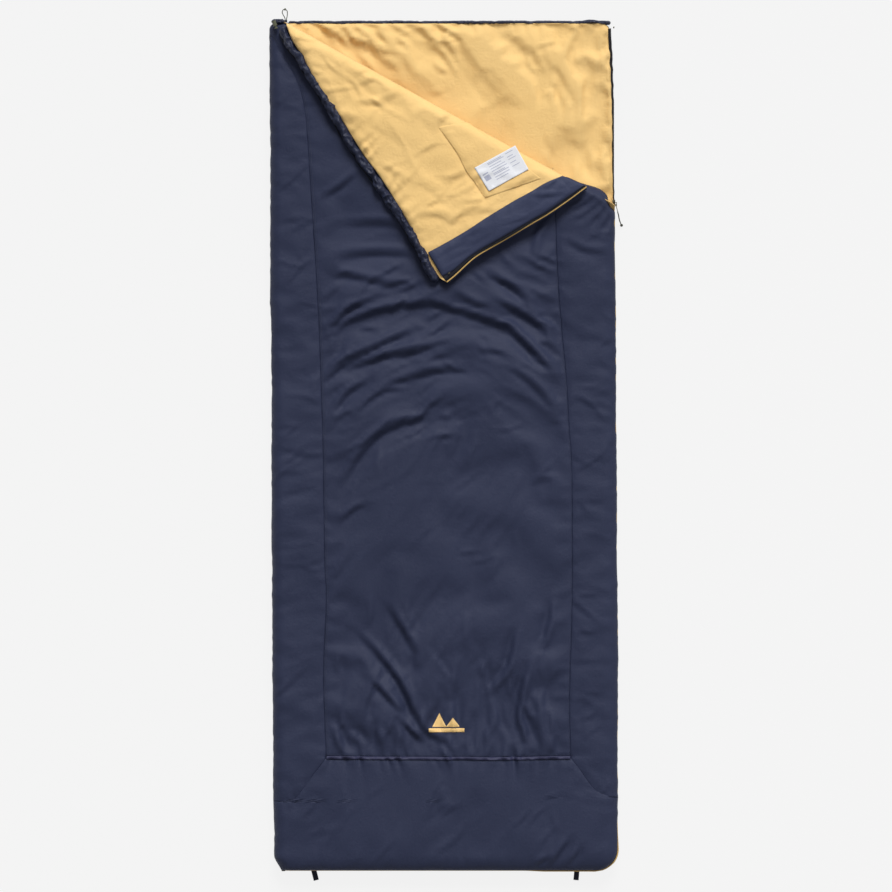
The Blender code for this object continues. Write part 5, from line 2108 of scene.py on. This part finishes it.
@dataclass
class ZipChains:
    """The side zip: real teeth for each coil, better cloth for the tapes, piping that follows the cover."""

    pitch: float = 0.0024
    foot_bend: float = 0.052
    bend_top: float = 0.55
    corner_y: float = -0.935
    foot_y: float = -0.990
    foot_x: float = 0.340
    piping_top: float = 0.545
    piping_end: float = -0.362
    piping_round: float = 0.0017

    def path(self, head: float, z: float) -> Grid:
        """The coil's middle, from the head down the side and along the foot.

        Args:
            head: its first y.
            z: its height.

        Returns:
            The line in 3-D.
        """
        low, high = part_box("back_zip_coil")
        side = high.x - 0.0010
        radius = self.foot_bend
        turn = np.linspace(0, -np.pi / 2, 16)
        middle = np.array((side - radius, low.y + 0.0010 + radius))
        bend = middle + radius * np.column_stack((np.cos(turn), np.sin(turn)))
        y = np.arange(head, self.bend_top + 0.02, -0.004)
        down = np.column_stack((np.minimum(side, BAG.right(y) + 0.0030), y))
        plan = np.vstack((down, [(side, self.bend_top)], bend, [(low.x, low.y + 0.0010)]))
        line = resample(plan, self.pitch)
        return np.column_stack((line, np.full(len(line), z)))

    def build(self) -> None:
        """Makes the teeth and the cover's piping."""
        for body, sign in (("back", -1), ("cover", 1)):
            low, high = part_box(f"{body}_zip_coil")
            line = self.path(high.y, (low.z + high.z) / 2)
            across = np.cross(np.gradient(line, axis=0), (0, 0, 1.0))
            teeth = many(f"{body}_zip_teeth", capsule(0.0021, 0.0013, 0.0025), line, across)
            COIL.dress(teeth)
            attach(teeth, body)
            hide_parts(f"{body}_zip_coil")
            rim = line.copy()
            x, y = rim[:, 0], rim[:, 1]
            rim[:, 0] = np.where(y > self.corner_y, BAG.right(y) - 0.0030, x)
            rim[:, 1] = np.where((y < self.foot_y) & (x < self.foot_x), BAG.foot + 0.0030, y)
            rim[:, 2] = BACK_EDGE + 0.0012 if body == "back" else COVER_EDGE - 0.0012
            tape = strip(f"{body}_zip_cloth", rim, line, 0.0)
            TAPE.dress(tape)
            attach(tape, body)
            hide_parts(f"{body}_zip_tape")
        right = BAG.right_line()[::-1]
        keep = right[right[:, 1] < self.piping_top]
        corner = np.exp(-(((keep[:, 1] + 0.965) / 0.045) ** 2))
        side = keep + np.column_stack((0.0028 * corner - 0.0019, -0.0012 * corner))
        x = np.linspace(side[-1, 0] - 0.012, self.piping_end, 60)
        foot = np.column_stack((x, BAG.foot - 0.0004 + 0.0020 * np.clip((0.235 - x) / 0.04, 0, 1)))
        line = resample(np.vstack((side, foot)), 0.004)
        line = np.column_stack((line, np.full(len(line), COVER_EDGE + 0.0004)))
        piping = sweep("cover_piping", line, round_section(self.piping_round), 8)
        PIPING.dress(piping)
        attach(piping, "cover")
        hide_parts("cover_zip_piping")
        LOG.info("zip teeth and piping")


def cord_curve(name: str, line: Grid, radius: float) -> bpy.types.Object:
    """A cord as one open curve of round section.

    Args:
        name: the cord's name.
        line: its middle, in 3-D.
        radius: half its thickness.

    Returns:
        The cord.
    """
    curve = bpy.data.curves.new(name, "CURVE")
    curve.dimensions = "3D"
    curve.bevel_depth = radius
    curve.bevel_resolution = 4
    curve.use_fill_caps = True
    spline = curve.splines.new("POLY")
    spline.points.add(len(line) - 1)
    for point, spot in zip(spline.points, line):
        point.co = (*spot, 1.0)
    return add_object(name, curve)


@dataclass
class PullerCord:
    """The knotted cord on the slider's puller."""

    lean: float = math.radians(14)
    tab: float = 0.0183
    radius: float = 0.0013
    offsets: Plan = (
        (0.0, 0.0, 0.0), (0.0012, -0.0045, -0.0008), (0.0024, -0.0090, -0.0042), (0.0032, -0.0125, -0.0095),
        (0.0040, -0.0150, -0.0150), (0.0050, -0.0180, -0.0205), (0.0066, -0.0225, -0.0240),
        (0.0088, -0.0275, -0.0258),
    )

    def build(self) -> None:
        """Lays the cord, and gives the imported knot the cord's finish."""
        pivot = np.array(JOINTS["puller_swing"]["pos_m"])
        start = pivot + np.array((math.sin(self.lean), -math.cos(self.lean), 0.0)) * self.tab
        line = smooth([start + np.array(offset) for offset in self.offsets], 5)
        cord = cord_curve("puller_braid", line, self.radius)
        CORD.dress(cord)
        knot = frame["nodes"]["puller_knot"]
        CORD.dress(knot)
        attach(cord, "puller")
        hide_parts("puller_cord")
        LOG.info("puller cord: %.1f mm", 1000 * length_of(line))


@dataclass
class DrawcordLoop:
    """The drawcord's free loop at the head, with its bead."""

    radius: float = 0.0010
    stand: float = 0.0009
    offsets: Plan = (
        (-0.0014, 0, 0), (-0.0020, 0.0042, -0.0024), (-0.0042, 0.0088, -0.0066), (-0.0072, 0.0140, -0.0090),
        (-0.0086, 0.0190, -0.0092), (-0.0066, 0.0238, -0.0092), (-0.0018, 0.0254, -0.0092),
        (0.0026, 0.0222, -0.0092), (0.0036, 0.0168, -0.0092), (0.0034, 0.0110, -0.0078),
        (0.0026, 0.0056, -0.0036), (0.0016, 0, 0),
    )

    def build(self) -> None:
        """Lays the loop."""
        low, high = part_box("drawcord_tab")
        base = np.array(((low.x + high.x) / 2, high.y + self.stand, (low.z + high.z) / 2))
        line = smooth([base + np.array(offset) for offset in self.offsets], 5)
        cord = cord_curve("drawcord_braid", line, self.radius)
        bead = frame["nodes"]["drawcord_bead"]
        CORD.dress(cord)
        PLASTIC.dress(bead)
        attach(cord, "back")
        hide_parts("drawcord_loop")
        LOG.info("drawcord loop: %.1f mm", 1000 * length_of(line))


@dataclass
class Fittings:
    """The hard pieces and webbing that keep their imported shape, with their finishes."""

    finishes: tuple[tuple[Finish, tuple[str, ...]], ...] = (
        (METAL, ("zip_slider", "puller_tab", "back_zip_top_stop", "flap_zip_top_stop", "zip_end_box")),
        (PLASTIC, ("cord_lock_barrel", "cord_lock_plunger")),
        (STEEL, ("cord_lock_spring",)),
        (WEBBING, ("hang_loop_left", "hang_loop_right", "drawcord_tab")),
        (CORD, ("back_drawcord", "flap_drawcord")),
    )
    edges: tuple[tuple[str, float], ...] = (
        ("zip_slider", 0.00025), ("puller_tab", 0.0003), ("zip_end_box", 0.0003),
        ("hang_loop_left", 0.0003), ("hang_loop_right", 0.0003), ("drawcord_tab", 0.0006),
        ("cord_lock_barrel", 0.0003), ("cord_lock_plunger", 0.0003),
    )

    def build(self) -> None:
        """Dresses the pieces and breaks their sharp edges."""
        for finish, names in self.finishes:
            finish.dress(*(frame["nodes"][name] for name in names))
        for name, width in self.edges:
            bevel = frame["nodes"][name].modifiers.new("broken_edges", "BEVEL")
            bevel.width = width
            bevel.segments = 2
            bevel.limit_method = "ANGLE"
        LOG.info("fittings")


# ---------------------------------------------------------------- studio


@dataclass
class Studio:
    """A pale floor, soft light and a camera straight above."""

    height: float = 9.948
    lens: float = 170.0
    middle: tuple[float, float] = (0.0059, 0.0006)
    glow: float = 0.86
    sky: float = 0.30
    half: float = 15.0

    def floor(self) -> None:
        """The floor, which glows a little, so that shadows on it stay faint."""
        corners = ((-1, -1), (1, -1), (1, 1), (-1, 1))
        points = np.array([(self.half * x, self.half * y, -0.0004) for x, y in corners])
        floor = add_mesh("studio_floor", points, [(0, 1, 2, 3)])
        graph = Graph("studio_floor")
        graph.put(graph.shader.inputs["Base Color"], (0.045, 0.045, 0.045, 1.0))
        graph.put(graph.shader.inputs["Roughness"], 1.0)
        graph.put(graph.shader.inputs["Specular IOR Level"], 0.0)
        graph.put(graph.shader.inputs["Emission Color"], (1.0, 1.0, 1.0, 1.0))
        graph.put(graph.shader.inputs["Emission Strength"], self.glow)
        floor.data.materials.append(graph.material)

    @staticmethod
    def light(
        name: str, kind: str, place: tuple[float, float, float], energy: float, settings: dict[str, object]
    ) -> None:
        """A soft light that shines from place towards the bag's middle.

        Args:
            name: the light's name.
            kind: "SUN" or "AREA".
            place: where it stands, or its direction for a sun.
            energy: a sun's strength, or watts.
            settings: its other settings.
        """
        data = bpy.data.lights.new(name, kind)
        data.energy = energy
        for setting, value in settings.items():
            setattr(data, setting, value)
        lamp = add_object(name, data)
        lamp.location = place
        lamp.rotation_euler = (-Vector(place)).to_track_quat("-Z", "Y").to_euler()

    def build(self) -> None:
        """Sets up the floor, the lights, the sky and the camera."""
        self.floor()
        self.light("key_light", "SUN", (0.4, 3.2, 2.7), 3.15, {"angle": math.radians(24.0)})
        self.light("fill_softbox", "AREA", (2.6, 0.2, 3.0), 14.0, {"shape": "SQUARE", "size": 2.6})
        world = bpy.data.worlds.new("studio")
        world.use_nodes = True
        sky = world.node_tree.nodes["Background"]
        sky.inputs["Color"].default_value = (1.0, 1.0, 1.0, 1.0)
        sky.inputs["Strength"].default_value = self.sky
        scene = bpy.context.scene
        scene.world = world
        scene.view_settings.view_transform = "Standard"
        data = bpy.data.cameras.new("camera")
        data.lens = self.lens
        data.sensor_width = 36.0
        data.dof.use_dof = False
        camera = add_object("camera", data)
        camera.location = (*self.middle, self.height)
        scene.camera = camera


def main() -> None:
    """Builds the bag's looks in order."""
    logging.basicConfig(level=logging.INFO, format="%(name)s: %(message)s")
    Studio().build()
    PullerCord().build()
    DrawcordLoop().build()
    BackQuilt().build()
    outer = CoverQuilt().build()
    lining = FoldedCorner().build()
    CareLabel().build(lining)
    Emblem().build(outer)
    HeadHems().build()
    ZipChains().build()
    Fittings().build()


if __name__ == "__main__":
    main()
